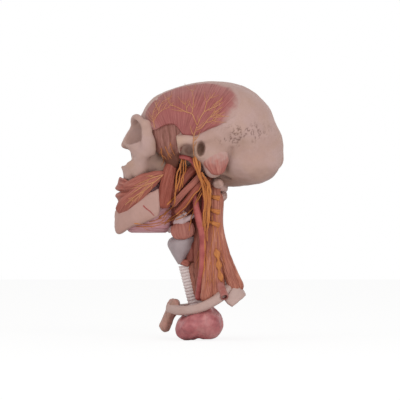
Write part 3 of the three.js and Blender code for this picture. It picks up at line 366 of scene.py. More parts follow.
class Volume:
    """Organic forms that blend into each other, drawn out as quads."""

    def __init__(self, frame_of, low, high, pitch):
        self.frame_of, self.low, self.pitch = frame_of, np.asarray(low, float), pitch
        counts = np.ceil((np.asarray(high, float) - self.low) / pitch).astype(int) + 1
        self.axes = [self.low[i] + np.arange(counts[i]) * pitch for i in range(3)]
        self.field = np.full(counts, 40.0, np.float32)

    def window(self, low, high):
        cut = tuple(
            slice(max(np.searchsorted(axis, a) - 1, 0), np.searchsorted(axis, b) + 1)
            for axis, a, b in zip(self.axes, low, high)
        )
        return cut, np.meshgrid(*(axis[part] for axis, part in zip(self.axes, cut)), indexing="ij")

    def mix(self, cut, other, soft, carve=False):
        sign = -1 if carve else 1
        self.field[cut] = sign * blend_min(sign * self.field[cut], other, soft)

    def beads(self, centres, axes, radii, soft, carve=False):
        """Ellipsoids given by centres, their three directions and three radii each."""
        reach = radii.max(axis=1)[:, None] + soft + 2 * self.pitch
        cut, (x, y, z) = self.window((centres - reach).min(axis=0), (centres + reach).max(axis=0))
        total = np.full(x.shape, 40.0)
        for centre, turn, radius in zip(centres, axes, radii):
            dx, dy, dz = x - centre[0], y - centre[1], z - centre[2]
            k0, k1 = np.zeros(x.shape), np.zeros(x.shape)
            for way, r in zip(turn, radius):
                q = (dx * way[0] + dy * way[1] + dz * way[2]) / r
                k0 += q * q
                k1 += (q / r) ** 2
            k0 = np.sqrt(k0)
            total = np.minimum(total, k0 * (k0 - 1) / np.maximum(np.sqrt(k1), 1e-6))
        self.mix(cut, total, soft, carve)

    def ball(self, centre, size, soft, turn=0.0, tilt=0.0, side=1, carve=False):
        """One ellipsoid of full sizes, turned about Z, then tilted about Y."""
        back, out, up = centre
        a, b, c, d = math.cos(side * turn), math.sin(side * turn), math.cos(tilt), math.sin(tilt)
        axes = np.array([[a * c, b * c, -d], [-b, a, 0], [a * d, b * d, c]])
        self.beads(self.frame_of(back, side * out, up)[None], [axes], np.array([size]) / 2, soft, carve)

    def balls(self, table, carve=False):
        for side in (-1, 1):
            for row in table:
                self.ball(*row, side=side, carve=carve)

    def chain(self, places, width, depth, soft, facing=OUTWARD, widths=(1,), depths=(1,), both=False,
              carve=False):
        """A bar of oval section along a route, with round ends, on one side or on both."""
        line, _ = paced(routed(self.frame_of, places), min(width, depth) * 0.16, 3, samples=40)
        half_width = width / 2 * profile(widths, len(line))
        half_depth = depth / 2 * profile(depths, len(line))
        axes = np.stack(frames(line, facing), axis=1)
        radii = np.column_stack([np.minimum(half_depth, half_width), half_width, half_depth])
        for side in (1, -1) if both else (1,):
            self.beads(line * [1, side, 1], axes * [1, side, 1], radii, soft, carve)

    def skin(self, relax=2):
        """The surface of the volume as quads."""
        f, inside = self.field, self.field < 0
        shape = tuple(n - 1 for n in f.shape)
        count = sum(
            inside[i:i + shape[0], j:j + shape[1], k:k + shape[2]].astype(np.int8)
            for i, j, k in np.ndindex(2, 2, 2)
        )
        active = (count > 0) & (count < 8)
        cells = np.argwhere(active)
        index = np.full(shape, -1)
        index[active] = np.arange(len(cells))
        total, hits = np.zeros((len(cells), 3)), np.zeros(len(cells))
        for axis in range(3):
            for edge in np.ndindex(2, 2):
                start, end = np.insert(edge, axis, 0), np.insert(edge, axis, 1)
                fa, fb = f[tuple((cells + start).T)], f[tuple((cells + end).T)]
                crossed = (fa < 0) != (fb < 0)
                t = np.where(crossed, fa / np.where(crossed, fa - fb, 1), 0)
                total[crossed] += (start + np.outer(t, end - start))[crossed]
                hits += crossed
        points = self.low + (cells + total / hits[:, None]) * self.pitch
        quads = []
        for axis in range(3):
            b, c = (step for a, step in enumerate(np.eye(3, dtype=int)) if a != axis)
            low = tuple(slice(int(a != axis), n) for a, n in enumerate(shape))
            high = tuple(slice(1, n + (a == axis)) for a, n in enumerate(shape))
            spots = np.argwhere(inside[low] != inside[high]) + b + c
            around_edge = (spots, spots - b, spots - b - c, spots - c)
            quad = np.stack([index[tuple(cell.T)] for cell in around_edge], axis=1)
            entering = inside[tuple(spots.T)] == (axis == 1)
            quad[entering] = quad[entering][:, ::-1]
            quads.append(quad)
        quads = np.vstack(quads)
        for _ in range(relax):
            points = relaxed(points, quads)
        return Form(points, quads)


def relaxed(points, quads, share=0.5):
    total, hits = np.zeros_like(points), np.zeros(len(points))
    for a in range(4):
        for b in ((a + 1) % 4, (a + 3) % 4):
            np.add.at(total, quads[:, a], points[quads[:, b]])
            np.add.at(hits, quads[:, a], 1)
    return points * (1 - share) + total / hits[:, None] * share


class Ground:
    """Forms that nerves are laid onto, as seen from the left."""

    def __init__(self, *forms):
        whole = merged(forms)
        self.tree = BVHTree.FromPolygons(whole.points.tolist(), whole.quads.tolist() + whole.tris.tolist())

    def under(self, line, width):
        """Where rays from the left meet the forms, and their depths, plain and evened over a width."""
        hits = [self.tree.ray_cast((x, -120, z), (0, 1, 0))[0] for x, _, z in line]
        met = [i for i, hit in enumerate(hits) if hit]
        depth = np.interp(np.arange(len(line)), met, [hits[i].y for i in met])
        even = np.convolve(np.pad(depth, width // 2, "edge"), np.full(width, 1 / width), "valid")
        return [bool(hit) for hit in hits], depth, even

    def laid(self, route, lift):
        """A line over the forms along a route, which gives only X and Z."""
        route = np.asarray(route, float)
        length = np.linalg.norm(np.diff(route[:, [0, 2]], axis=0), axis=1).sum()
        line = smooth(route, max(int(length / 1.5), 5))
        _, depth, even = self.under(line, 5)
        line[:, 1] = np.minimum(depth, even) - lift
        return line

    def settled(self, route, lift):
        """A line whose far end comes to rest on the forms, and which nowhere runs inside them."""
        line = smooth(wavy(route, 0.3, len(route)), 60)
        met, depth, even = self.under(line, 13)
        share = smooth_rise(np.linspace(0, 1, len(line)), 0.15, 0.6)
        own = line[:, 1] + share * np.maximum(even - lift - line[:, 1], 0)
        line[:, 1] = np.minimum(own, np.where(met, depth - lift, own))
        return line

    def nerves(self, routes, frame_of, seed):
        """Tapering nerves along routes of back and up shares, each with its radius."""
        forms = []
        for index, (places, radius) in enumerate(routes):
            line = self.laid([frame_of(back, 0, up) for back, up in places], radius * 0.25)
            forms.append(tube(line, radius, radii=(1, 0.9, 0.75, 0.5), sides=8, seed=seed + index))
        return merged(forms)


def with_twigs(routes, count, reach, seed):
    """Routes with seeded twigs that leave them on both sides."""
    rng = np.random.default_rng(seed)
    grown = list(routes)
    for places, radius in routes:
        line = smooth(places, 32)
        for _ in range(count):
            at = rng.integers(4, 30)
            way = normalised(line[at + 1] - line[at])
            side = np.array([-way[1], way[0]]) * rng.choice((-1, 1))
            length = reach * rng.uniform(0.5, 1.3)
            bend, end = line[at] + (way + 0.7 * side) * length * 0.4, line[at] + (way + 0.5 * side) * length
            grown.append(([line[at], bend, end], radius * 0.6))
    return grown


# Materials
def feed(tree, socket, value):
    """Links an output to a socket, or sets a plain value on it."""
    if isinstance(value, bpy.types.NodeSocket):
        tree.links.new(value, socket)
    else:
        socket.default_value = (*value, 1) if socket.type == "RGBA" else value


def add_node(tree, kind, inputs=None, out=0, **settings):
    """Adds a shader node with its inputs and settings, and gives one of its outputs."""
    node = tree.nodes.new("ShaderNode" + kind)
    for name, value in settings.items():
        setattr(node, name, value)
    for name, value in (inputs or {}).items():
        feed(tree, node.inputs[name], value)
    return node.outputs[out] if len(node.outputs) else None


class Paint:
    """A material with colours laid over each other."""

    def __init__(self, name, coat=0.0):
        self.material = bpy.data.materials.new(name)
        self.material.use_nodes = True
        self.tree = self.material.node_tree
        self.sockets = self.tree.nodes["Principled BSDF"].inputs
        self.sockets["Specular IOR Level"].default_value = 0.22
        self.sockets["Coat Weight"].default_value = coat
        self.sockets["Coat Roughness"].default_value = 0.35
        self.where = add_node(self.tree, "TexCoord", out="Object")

    def noise(self, scale, detail=4.0, rough=0.55, vector=None):
        inputs = {"Vector": vector or self.where, "Scale": scale, "Detail": detail, "Roughness": rough}
        return add_node(self.tree, "TexNoise", inputs, "Fac")

    def fibres(self, across, along, detail, rough=0.55):
        """Noise drawn out along the fibres."""
        places = add_node(self.tree, "UVMap", uv_map="fibres")
        drawn_out = add_node(self.tree, "Mapping", {"Vector": places, "Scale": (across, along, 1)})
        return self.noise(1.0, detail, rough, drawn_out)

    def ranged(self, value, start, end, low=0.0, high=1.0):
        inputs = {"Value": value, "From Min": start, "From Max": end, "To Min": low, "To Max": high}
        return add_node(self.tree, "MapRange", inputs, "Result")

    def ramp(self, value, stops):
        node = self.tree.nodes.new("ShaderNodeValToRGB")
        while len(node.color_ramp.elements) < len(stops):
            node.color_ramp.elements.new(0.5)
        for element, (position, colour) in zip(node.color_ramp.elements, stops):
            element.position, element.color = position, (*colour, 1)
        feed(self.tree, node.inputs["Fac"], value)
        self.colour = node.outputs["Color"]

    def cover(self, colour, share, *limits):
        """Lays a colour over the present one, by a share or by a value with its limits."""
        share = self.ranged(share, *limits) if limits else share
        self.colour = add_node(self.tree, "Mix", {0: share, 6: self.colour, 7: colour}, 2, data_type="RGBA")

    def mark(self, **colours):
        """Lays colours where the form's marks ask for them."""
        marks = add_node(self.tree, "VertexColor", out="Color", layer_name="marks")
        for channel, colour in colours.items():
            self.cover(colour, add_node(self.tree, "SeparateColor", {"Color": marks}, channel))

    def finished(self, value, rough_low, rough_high, bumps):
        """The material, with its roughness after a value and bumps of (height, strength, depth)."""
        feed(self.tree, self.sockets["Base Color"], self.colour)
        feed(self.tree, self.sockets["Roughness"], self.ranged(value, 0.3, 0.7, rough_low, rough_high))
        below = {}
        for height, strength, depth in bumps:
            inputs = {"Strength": strength, "Distance": depth * MM, "Height": height, **below}
            below = {"Normal": add_node(self.tree, "Bump", inputs, "Normal")}
        feed(self.tree, self.sockets["Normal"], below["Normal"])
        return self.material


def fibre_paint(name, dark, middle, light, across=0.55, along=0.035):
    paint = Paint(name)
    streaks = paint.fibres(across, along, 5.0, 0.6)
    broad = paint.fibres(across / 4, along / 2, 2.0)
    blotch = paint.noise(55.0, 3.0)
    paint.ramp(streaks, [(0.34, dark), (0.5, middle), (0.68, light)])
    paint.cover(middle, broad, 0.35, 0.7, 0.0, 0.5)
    paint.cover((0.26, 0.1, 0.075), blotch, 0.52, 0.75, 0.0, 0.3)
    # Green marks darken towards the dark fibre colour: painted shade on deep straps and the low end of the
    # deep temple muscle, and a slight darkening low in front on the temple muscle. Red marks fade into bone
    # colour.
    paint.mark(Green=dark, Red=(0.475, 0.31, 0.275))
    return paint.finished(streaks, 0.6, 0.42, [(streaks, 0.6, 0.5), (blotch, 0.2, 0.6)])


def bone_paint(name, base, warm):
    paint = Paint(name)
    cloud, grain, pores = paint.noise(28.0), paint.noise(420.0, 5.0, 0.65), paint.noise(900.0, 2.0)
    paint.colour = base
    paint.cover(warm, cloud, 0.42, 0.7, 0.0, 0.75)
    paint.cover((0.3, 0.19, 0.16), grain, 0.35, 0.65, 0.12, 0.0)
    # Brown and dark marks carry painted shade in hollows, grooves and under the skull, besides brown patches
    # and pits; the yellow mark carries a warm tint painted for a highlight
    paint.mark(Red=(0.27, 0.165, 0.125), Green=(0.17, 0.095, 0.075), Blue=(0.5, 0.30, 0.13))
    return paint.finished(grain, 0.62, 0.46, [(grain, 0.25, 0.3), (pores, 0.12, 0.2), (cloud, 0.25, 1.5)])


def vessel_paint(name, dark, light):
    paint = Paint(name, coat=0.08)
    rings, cloud = paint.fibres(0.1, 0.55, 3.0), paint.noise(90.0, 3.0)
    paint.colour = dark
    paint.cover(light, cloud, 0.35, 0.68)
    paint.cover((0.52, 0.19, 0.15), rings, 0.5, 0.75, 0.0, 0.35)
    # Green marks: painted shade inside open ends
    paint.mark(Green=(0.1, 0.008, 0.01))
    return paint.finished(cloud, 0.32, 0.48, [(rings, 0.2, 0.3), (cloud, 0.2, 0.5)])


def nerve_paint(name, dark, light):
    paint = Paint(name, coat=0.05)
    strands, cloud = paint.fibres(1.3, 0.06, 4.0), paint.noise(140.0, 3.0)
    paint.colour = dark
    paint.cover(light, strands, 0.36, 0.62)
    paint.cover((0.44, 0.13, 0.05), cloud, 0.5, 0.75, 0.0, 0.45)
    return paint.finished(strands, 0.5, 0.36, [(strands, 0.5, 0.35), (cloud, 0.15, 0.4)])


def cartilage_paint(name, base, light):
    paint = Paint(name, coat=0.05)
    cloud, grain = paint.noise(60.0), paint.noise(500.0, 3.0)
    paint.colour = base
    paint.cover(light, cloud, 0.35, 0.7)
    paint.cover((0.3, 0.2, 0.21), grain, 0.4, 0.7, 0.15, 0.0)
    # Red marks: darker and pinker between the windpipe's rings and low on the shield, and painted shade
    # inside the windpipe's bore
    paint.mark(Red=(0.36, 0.2, 0.2))
    return paint.finished(cloud, 0.36, 0.52, [(grain, 0.15, 0.25), (cloud, 0.2, 1.0)])


def lung_paint(name, dark, middle, light):
    paint = Paint(name, coat=0.25)
    lobules = add_node(paint.tree, "TexVoronoi", {"Vector": paint.where, "Scale": 110.0}, "Distance",
                       feature="DISTANCE_TO_EDGE")
    edge = paint.ranged(lobules, 0.0, 0.18)
    cloud, fine = paint.noise(55.0, 5.0), paint.noise(350.0)
    paint.ramp(cloud, [(0.33, dark), (0.5, middle), (0.7, light)])
    paint.cover((0.2, 0.05, 0.06), edge, 0.0, 1.0, 0.2, 0.0)
    return paint.finished(fine, 0.3, 0.5, [(edge, 0.25, 0.4), (cloud, 0.4, 1.2), (fine, 0.2, 0.3)])


PAINTS = {name: make(name, *colours) for make, table in (
    (fibre_paint, {
        "thyroid_brown": ((0.25, 0.085, 0.065), (0.38, 0.14, 0.11), (0.46, 0.2, 0.16)),
        "gland_brown": ((0.18, 0.06, 0.04), (0.33, 0.12, 0.085), (0.45, 0.2, 0.14), 0.35, 0.12),
        "temple_red": ((0.215, 0.056, 0.053), (0.335, 0.102, 0.095), (0.47, 0.185, 0.165), 1.1),
        "fossa_brown": ((0.13, 0.045, 0.028), (0.31, 0.13, 0.105), (0.42, 0.21, 0.17), 0.7),
        "cheek_red": ((0.22, 0.055, 0.042), (0.35, 0.108, 0.08), (0.47, 0.19, 0.145)),
        "neck_red": ((0.18, 0.045, 0.032), (0.4, 0.135, 0.09), (0.6, 0.28, 0.19), 0.65),
        "deep_red": ((0.12, 0.028, 0.022), (0.25, 0.066, 0.05), (0.4, 0.14, 0.11), 0.4),
        "pale_red": ((0.19, 0.04, 0.025), (0.34, 0.09, 0.062), (0.47, 0.165, 0.115), 0.5),
        "stump_red": ((0.26, 0.065, 0.055), (0.4, 0.125, 0.1), (0.5, 0.22, 0.18), 0.4),
        "lilac": ((0.34, 0.13, 0.14), (0.54, 0.27, 0.3), (0.63, 0.4, 0.42)),
    }),
    (bone_paint, {
        "bone": ((0.50, 0.335, 0.305), (0.44, 0.27, 0.215)),
        "jaw_bone": ((0.48, 0.29, 0.25), (0.43, 0.24, 0.19)),
        "rib_bone": ((0.52, 0.37, 0.335), (0.46, 0.29, 0.25)),
        "hyoid_lilac": ((0.54, 0.4, 0.41), (0.48, 0.31, 0.31)),
        "plate_bone": ((0.48, 0.255, 0.21), (0.43, 0.19, 0.145)),
    }),
    (vessel_paint, {
        "artery_pink": ((0.3, 0.055, 0.053), (0.44, 0.11, 0.1)),
        "artery_pale": ((0.36, 0.12, 0.105), (0.48, 0.22, 0.19)),
    }),
    (nerve_paint, {
        "nerve_orange": ((0.36, 0.115, 0.04), (0.58, 0.22, 0.055)),
        "nerve_yellow": ((0.45, 0.19, 0.09), (0.58, 0.29, 0.14)),
    }),
    (cartilage_paint, {
        "cartilage": ((0.36, 0.29, 0.3), (0.42, 0.35, 0.36)),
        "ringed": ((0.76, 0.65, 0.63), (0.85, 0.76, 0.74)),
    }),
    (lung_paint, {"lung_pink": ((0.3, 0.075, 0.085), (0.45, 0.145, 0.15), (0.58, 0.26, 0.25))}),
) for name, colours in table.items()}


def strap_pair(name, node, paint, frame_of, straps, slot="muscle"):
    """A pair of pieces from straps, each with its places, width, depth and the rest."""
    form = merged([strap(routed(frame_of, places), *size, **more) for places, *size, more in straps])
    place_pair(name, form, paint, slot, node)
    return form


def fine_nerves(name, ground, frame_of, routes, twigs, seed, paint="nerve_orange", node=None):
    place_pair(name, ground.nerves(with_twigs(routes, *twigs), frame_of, seed), paint, "nerve", node)


def roughened(form, seed, height=0.25):
    rise = noise(form.points, seed, 12) * height
    form.swell(rise)
    form.marks[:, 0] = np.clip(-rise / height * 0.35, 0, 0.6)
    return form


class Pillow:
    """A body given by its outline from the side, in shares, and by its half breadth inside that outline."""

    def __init__(self, outline, centre, rim, side, breadth_at):
        self.centre = head(centre[0], 0, centre[1])
        arm = smooth([head(back, 0, up) for back, up in outline], 720, closed=True)[:-1] - self.centre
        angle = np.arctan2(arm[:, 2], arm[:, 0])
        order = np.argsort(angle)
        self.angle, self.radius = angle[order], np.hypot(arm[:, 0], arm[:, 2])[order]
        self.rim, self.side, self.breadth_at = rim, side, breadth_at

    def shares(self, x, z, grow=0.0):
        dx, dz = x - self.centre[0], z - self.centre[2]
        radius = np.interp(np.arctan2(dz, dx), self.angle, self.radius, period=2 * math.pi)
        return np.hypot(dx, dz) / (radius + grow)

    def half_breadth(self, x, z, grow=0.0):
        full = np.clip(1 - self.shares(x, z, grow) ** self.rim, 0, None) ** (1 / self.side)
        return (self.breadth_at(x, z) + grow) * full

    def field(self, x, y, z, pitch):
        level = self.shares(x, z) ** self.rim + (np.abs(y) / self.breadth_at(x, z)) ** self.side - 1
        slope = np.sqrt(sum(g * g for g in np.gradient(level, pitch)))
        return np.clip(level / np.maximum(slope, 0.004), -30, 30)


def cranium_breadth(x, z):
    """Narrower towards the base, and in the hollow of the temple."""
    hollow, reach, depth, base_taper = head(-0.47, 0, 0.2), 28, 6, 14
    away = np.hypot(x - hollow[0], z - hollow[2]) / reach
    taper = base_taper * (1 - smooth_rise(z, EAR_HEIGHT - 0.3 * FACE_DROP, EAR_HEIGHT + 0.42 * VAULT_RISE))
    return HEAD_BREADTH / 2 - depth * np.exp(-away * away) - taper


def face_breadth(x, z):
    gum_breadth, brow_breadth = 64, 104
    rise = smooth_rise(z, EAR_HEIGHT - 0.41 * FACE_DROP, EAR_HEIGHT + 0.33 * VAULT_RISE)
    return (gum_breadth + (brow_breadth - gum_breadth) * rise) / 2


# Skull
cranium = Pillow([
    (-0.8, 0.31), (-0.73, 0.47), (-0.6, 0.72), (-0.29, 0.91), (0.16, 1), (0.57, 0.89),
    (0.805, 0.63), (0.9, 0.37), (0.965, 0.2), (0.985, 0.02), (0.945, -0.17), (0.81, -0.33), (0.59, -0.405),
    (0.33, -0.45), (0.08, -0.32), (-0.25, -0.2), (-0.5, -0.08), (-0.72, 0.1),
], (0.145, 0.19), 2.4, 2.2, cranium_breadth)
face = Pillow([
    (-0.82, 0.33), (-0.93, 0.08), (-0.85, -0.03), (-0.86, -0.15), (-0.95, -0.19), (-0.94, -0.3),
    (-0.91, -0.41), (-0.6, -0.41), (-0.44, -0.34), (-0.43, -0.07), (-0.48, 0.18), (-0.62, 0.36),
], (-0.66, -0.05), 2.8, 2.2, face_breadth)

# Bars of the skull on both sides: places, width, depth, softness and the rest
SIDE_BARS = [
    # Brow and the rims of the eye sockets
    ([(-0.8, 0.1, 0.33), (-0.79, 0.3, 0.44), (-0.74, 0.56, 0.44), (-0.66, 0.7, 0.34)], 8, 8, 6, {}),
    # Cheek bones, cut where the arch is sawn off
    ([(-0.655, 0.69, 0.38), (-0.635, 0.71, 0.22), (-0.62, 0.72, 0.08), (-0.62, 0.67, -0.05)], 17, 7.5, 4,
     dict(widths=(0.75, 0.85, 1.1, 0.95))),
    ([(-0.6, 0.7, 0.03), (-0.7, 0.6, -0.02), (-0.8, 0.42, 0.0)], 18, 10, 4, dict(widths=(1, 1, 0.7))),
    ([(-0.68, 0.6, -0.06), (-0.71, 0.48, -0.2), (-0.74, 0.42, -0.3)], 13, 10, 6, {}),
]
BACK_BARS = [
    # Wings of bone behind the upper jaw
    ([(-0.4, 0.4, -0.04), (-0.44, 0.42, -0.2), (-0.45, 0.42, -0.36)], 15, 9, 6, {}),
    # Cheek roots with their knobs
    ([(-0.3, 0.9, 0.11), (-0.24, 0.91, 0.11), (-0.12, 0.88, 0.125), (0.06, 0.86, 0.14), (0.22, 0.84, 0.2)],
     12, 14, 4, dict(widths=(1.2, 1.2, 0.95, 0.75, 0.6), depths=(1.1, 1.1, 1, 0.8, 0.5))),
    ([(-0.235, 0.89, 0.06), (-0.235, 0.9, -0.01)], 9, 10, 3, {}),
]
# Centres, sizes and softness of ear rims, mastoids, bulges over the small brain, knuckles for the neck bone
KNOBS = [
    ((0.015, 0.78, 0), (21, 24, 30), 4), ((0.14, 0.72, -0.06), (28, 24, 42), 6),
    ((0.16, 0.68, -0.24), (20, 18, 20), 6), ((0.6, 0.36, -0.2), (62, 50, 38), 16),
    ((0.2, 0.22, -0.44), (24, 14, 10), 4),
]
# The same, with turn and tilt, of eye sockets and the slits behind them, nose, ears, jaw sockets, notches
HOLLOWS = [
    ((-0.82, 0.44, 0.25), (52, 35, 31), 3, -0.36), ((-0.56, 0.34, 0.2), (50, 12, 12), 3, 0.4),
    ((-0.9, 0.12, -0.07), (34, 10, 24), 3), ((-0.895, 0.11, -0.14), (34, 13, 15), 3),
    ((0.012, 0.95, 0.0), (10.5, 32, 19), 2.5, 0, 0.1), ((-0.135, 0.88, -0.03), (13, 34, 16), 3),
    ((-0.185, 0.95, 0.0), (13, 26, 10), 3, 0, -0.3), ((0.18, 0.5, -0.33), (40, 8, 12), 4),
]
# Spots of colour: strength, place and reach
# Brown in the fossa behind the cheek, by the jaw socket, under the cheek bone and low behind the upper jaw;
# brown painted shade under the back of the skull and low behind the mastoid
BROWN_AND_SHADE_SPOTS = [
    (1.0, (-0.42, 0.6, 0.06), (16, 24, 17)), (0.9, (-0.14, 0.75, -0.08), (12, 18, 10)),
    (0.6, (0.3, 0.5, -0.4), (26, 26, 9)), (0.6, (-0.6, 0.5, -0.1), (8, 12, 8)),
    (0.9, (-0.45, 0.4, -0.25), (12, 16, 20)), (0.5, (0.33, 0.72, -0.27), (7, 14, 11)),
    # Painted shade along the groove behind the mastoid
    (0.45, (0.385, 0.75, -0.04), (4, 30, 7)), (0.45, (0.315, 0.75, -0.15), (4, 30, 7)),
    (0.45, (0.3, 0.75, -0.23), (4, 30, 7)), (0.45, (0.24, 0.75, -0.31), (4, 30, 7)),
]
# Painted shade in the ear canal, eye socket, nose opening and jaw socket
HOLLOW_SHADE_SPOTS = [
    (0.85, (0.01, 0.76, 0.0), (5.5, 12, 9)), (0.5, (-0.76, 0.4, 0.25), (16, 14, 12)),
    (0.5, (-0.84, 0.0, -0.1), (12, 9, 12)), (0.5, (-0.13, 0.76, -0.04), (6, 12, 6)),
]
# Yellower spots; the one on the cheek root is a warm tint painted for the highlight there
YELLOW_SPOTS = [
    (0.3, (-0.8, 0.3, -0.17), (14, 16, 8)), (0.3, (-0.3, 0.8, 0.02), (8, 12, 5)),
    (0.25, (-0.24, 0.62, -0.12), (10, 14, 6)), (0.25, (-0.28, 0.95, 0.12), (14, 14, 8)),
    (0.2, (-0.05, 0.85, 0.02), (5, 14, 12)),
]


def skull_space():
    space = Volume(head, (-104, -78, 180), (108, 78, 320), 1.2)
    x, y, z = np.meshgrid(*space.axes, indexing="ij")
    braincase = cranium.field(x, y, z, space.pitch).astype(np.float32)
    space.field = blend_min(braincase, face.field(x, y, z, space.pitch), 5.0).astype(np.float32)
    for *bar, more in SIDE_BARS:
        space.chain(*bar, both=True, **more)
    # Nose bones and the spine below the nose
    space.chain([(-0.8, 0, 0.3), (-0.87, 0, 0.16), (-0.915, 0, 0.07)], 10, 9, 5, facing=(-1, 0, 0.4),
                widths=(1, 0.9, 1.15))
    space.chain([(-0.84, 0, -0.22), (-0.93, 0, -0.215)], 4, 7, 4)
    for *bar, more in BACK_BARS:
        space.chain(*bar, both=True, **more)
    space.balls(KNOBS)
    # The knob at the back of the head, and grooves behind the mastoids
    space.ball((0.905, 0, -0.13), (12, 16, 12), 10)
    space.chain([(0.365, 0.875, 0), (0.315, 0.785, -0.14), (0.285, 0.65, -0.26)], 7, 8, 5,
                widths=(0.5, 1, 1), both=True, carve=True)
    # The sawn faces of the cheek roots, which lean forwards as they rise
    saw_lean, saw_height = 0.15, 240
    for out_low, out_high in ((-78, -60), (60, 78)):
        cut, (x, _, z) = space.window((-46, out_low, 226), (-12, out_high, 252))
        space.mix(cut, x - (head(-0.275, 0, 0)[0] - saw_lean * (z - saw_height)), 1.0, carve=True)
    space.balls(HOLLOWS, carve=True)
    # The hole for the cord
    space.ball((0.33, 0, -0.46), (34, 28, 24), 4, carve=True)
    return space


def skull_form():
    form = skull_space().skin()
    p = form.points
    # The pitted field behind the ear, which rises a little to the back
    centre_x, centre_z, reach_x, reach_z, rising = 53, 249, 29, 12, 0.12
    across, up = p[:, 0] - centre_x, p[:, 2] - centre_z - rising * (p[:, 0] - centre_x)
    pitted = np.exp(-((across / reach_x) ** 2 + (up / reach_z) ** 2) ** 1.5)
    patches = np.clip(noise(p, 6, 17, 2) * 1.6 + 0.9, 0, 1)
    pits = np.clip(1.2 - np.abs(noise(p, 5, 8, 2)) * 3.0, 0, 1) * patches * np.clip(pitted * 1.3, 0, 1)
    form.swell(noise(p, 3, 60, 2) * 0.35 + noise(p, 4, 14) * 0.12 - 1.1 * pits)

    left = np.column_stack([p[:, 0], -np.abs(p[:, 1]), p[:, 2]])

    def spots(table):
        return sum(
            strength * np.exp(-(((left - head(*centre)) / reach) ** 2).sum(axis=1))
            for strength, centre, reach in table
        )

    # Browner in the pitted field; low behind the ear, brown painted shade under the back of the skull
    cloud, low = noise(p, 9, 22), smooth_rise(-p[:, 2], -226, -196)
    brown = spots(BROWN_AND_SHADE_SPOTS) + (0.22 + 0.2 * cloud) * pitted
    brown += (0.2 + 0.12 * cloud) * low * smooth_rise(p[:, 0], 20, 40)
    # Darker in the pits, and painted shade in the hollows
    dark = np.clip(pits, 0, 0.72) + spots(HOLLOW_SHADE_SPOTS)
    yellow = spots(YELLOW_SPOTS) + 0.07 * np.clip(noise(p, 8, 30, 2), 0, 1)
    form.marks = np.clip(np.column_stack([brown, dark, yellow]), 0, 0.95)
    return form


skull = skull_form()
place("skull", skull, "bone", "bone", "cranium", "facial_bones", "cheek_bone_left", "cheek_bone_right")

# Temple muscle: a fan that lies on the braincase, between its lower and upper edges of back and up shares
TEMPLE_LOWER = [
    (-0.6, 0.29), (-0.54, 0.27), (-0.42, 0.335), (-0.31, 0.345), (-0.25, 0.275), (-0.2, 0.19), (-0.09, 0.18),
    (0.01, 0.22), (0.11, 0.28), (0.24, 0.345), (0.37, 0.44),
]
TEMPLE_UPPER = [
    (-0.62, 0.31), (-0.665, 0.45), (-0.66, 0.55), (-0.606, 0.655), (-0.52, 0.76), (-0.4, 0.85),
    (-0.23, 0.925), (-0.055, 0.962), (0.11, 0.977), (0.277, 0.958), (0.385, 0.905), (0.45, 0.83),
    (0.48, 0.72), (0.48, 0.6), (0.455, 0.52),
]
# Where the fibres of the temple muscle run together
TEMPLE_TENDON = head(-0.26, 0, -0.1)


def on_cranium(flat, lift):
    x, z = flat[..., 0], flat[..., 2]
    return np.stack([x, -cranium.half_breadth(x, z, lift), z], axis=-1)


def temple_thickness(u, v):
    """Thickness of the temple muscle from its front to its back (u) and from low to high (v)."""
    front, back = smooth_rise(u, 0, 0.07), 1 - smooth_rise(u, 0.6, 0.95)
    low, top = smooth_rise(v, 0.0, 0.05), 1 - smooth_rise(v, 0.45, 0.95)
    lip = np.exp(-((v - 0.035) / 0.03) ** 2) * front * (1 - smooth_rise(u, 0.35, 0.6))
    edge = np.maximum(smooth_rise(v, 0.96, 1.0), smooth_rise(u, 0.87, 1.0))
    belly = front * (0.1 + 0.9 * back) * (0.12 + 0.88 * top) * (0.4 + 0.6 * low)
    least, belly_rise, lip_rise, edge_fall = 0.6, 3.8, 0.9, 1.5
    return least + belly_rise * belly + lip_rise * lip - edge_fall * edge


def temple_form():
    columns, rows, fan_width, fibre_count, fibre_depth, root_depth = 320, 160, 190, 120, 0.2, 2.5
    edges = ([head(back, 0, up) for back, up in edge] for edge in (TEMPLE_LOWER, TEMPLE_UPPER))
    lower, upper = (smooth(edge, columns) for edge in edges)
    u, v = np.meshgrid(np.linspace(0, 1, columns), np.linspace(0, 1, rows))
    flat = lower * (1 - v)[..., None] + upper * v[..., None]
    arm = flat - TEMPLE_TENDON
    turn, reach = np.arctan2(arm[..., 2], arm[..., 0]) / math.pi, np.hypot(arm[..., 0], arm[..., 2])
    thick = temple_thickness(u, v)
    fibres = bundles(turn, reach, 12, fibre_count, fibre_depth)
    outer = on_cranium(flat, thick + fibres * np.clip(thick / 3, 0, 1))
    rings = np.vstack([on_cranium(flat[:1], -root_depth), outer])
    soft = 0.14 * smooth_rise(u, 0.6, 0.85)
    fade = 0.12 * smooth_rise(v, 0.55, 0.9) + smooth_rise((v - 0.955 + soft) / (0.035 + soft), 0, 1)
    fade += smooth_rise(u, 0.79, 0.965) + 0.42 * (1 - smooth_rise(u, 0, 0.16))
    ragged = noise(outer.reshape(-1, 3), 13, 12).reshape(u.shape)
    comb = smooth_rise(u, 0.1, 0.2) * (1 - smooth_rise(u, 0.5, 0.62)) * (1 - smooth_rise(v, 0.2, 0.42))
    marks = np.zeros(rings.shape)
    marks[1:, :, 0] = np.clip(fade + 0.12 * ragged * np.clip(fade * 2, 0, 1), 0, 1)
    marks[1:, :, 1] = comb * 0.12
    form = grid_form(rings, np.arange(rows + 1.0), marks=marks)
    uv = np.stack([turn * fan_width, reach], -1)
    form.quad_uv = uv[np.maximum(form.quads // columns - 1, 0), form.quads % columns]
    return form.turned() if form.normals()[:, 1].mean() > 0 else form


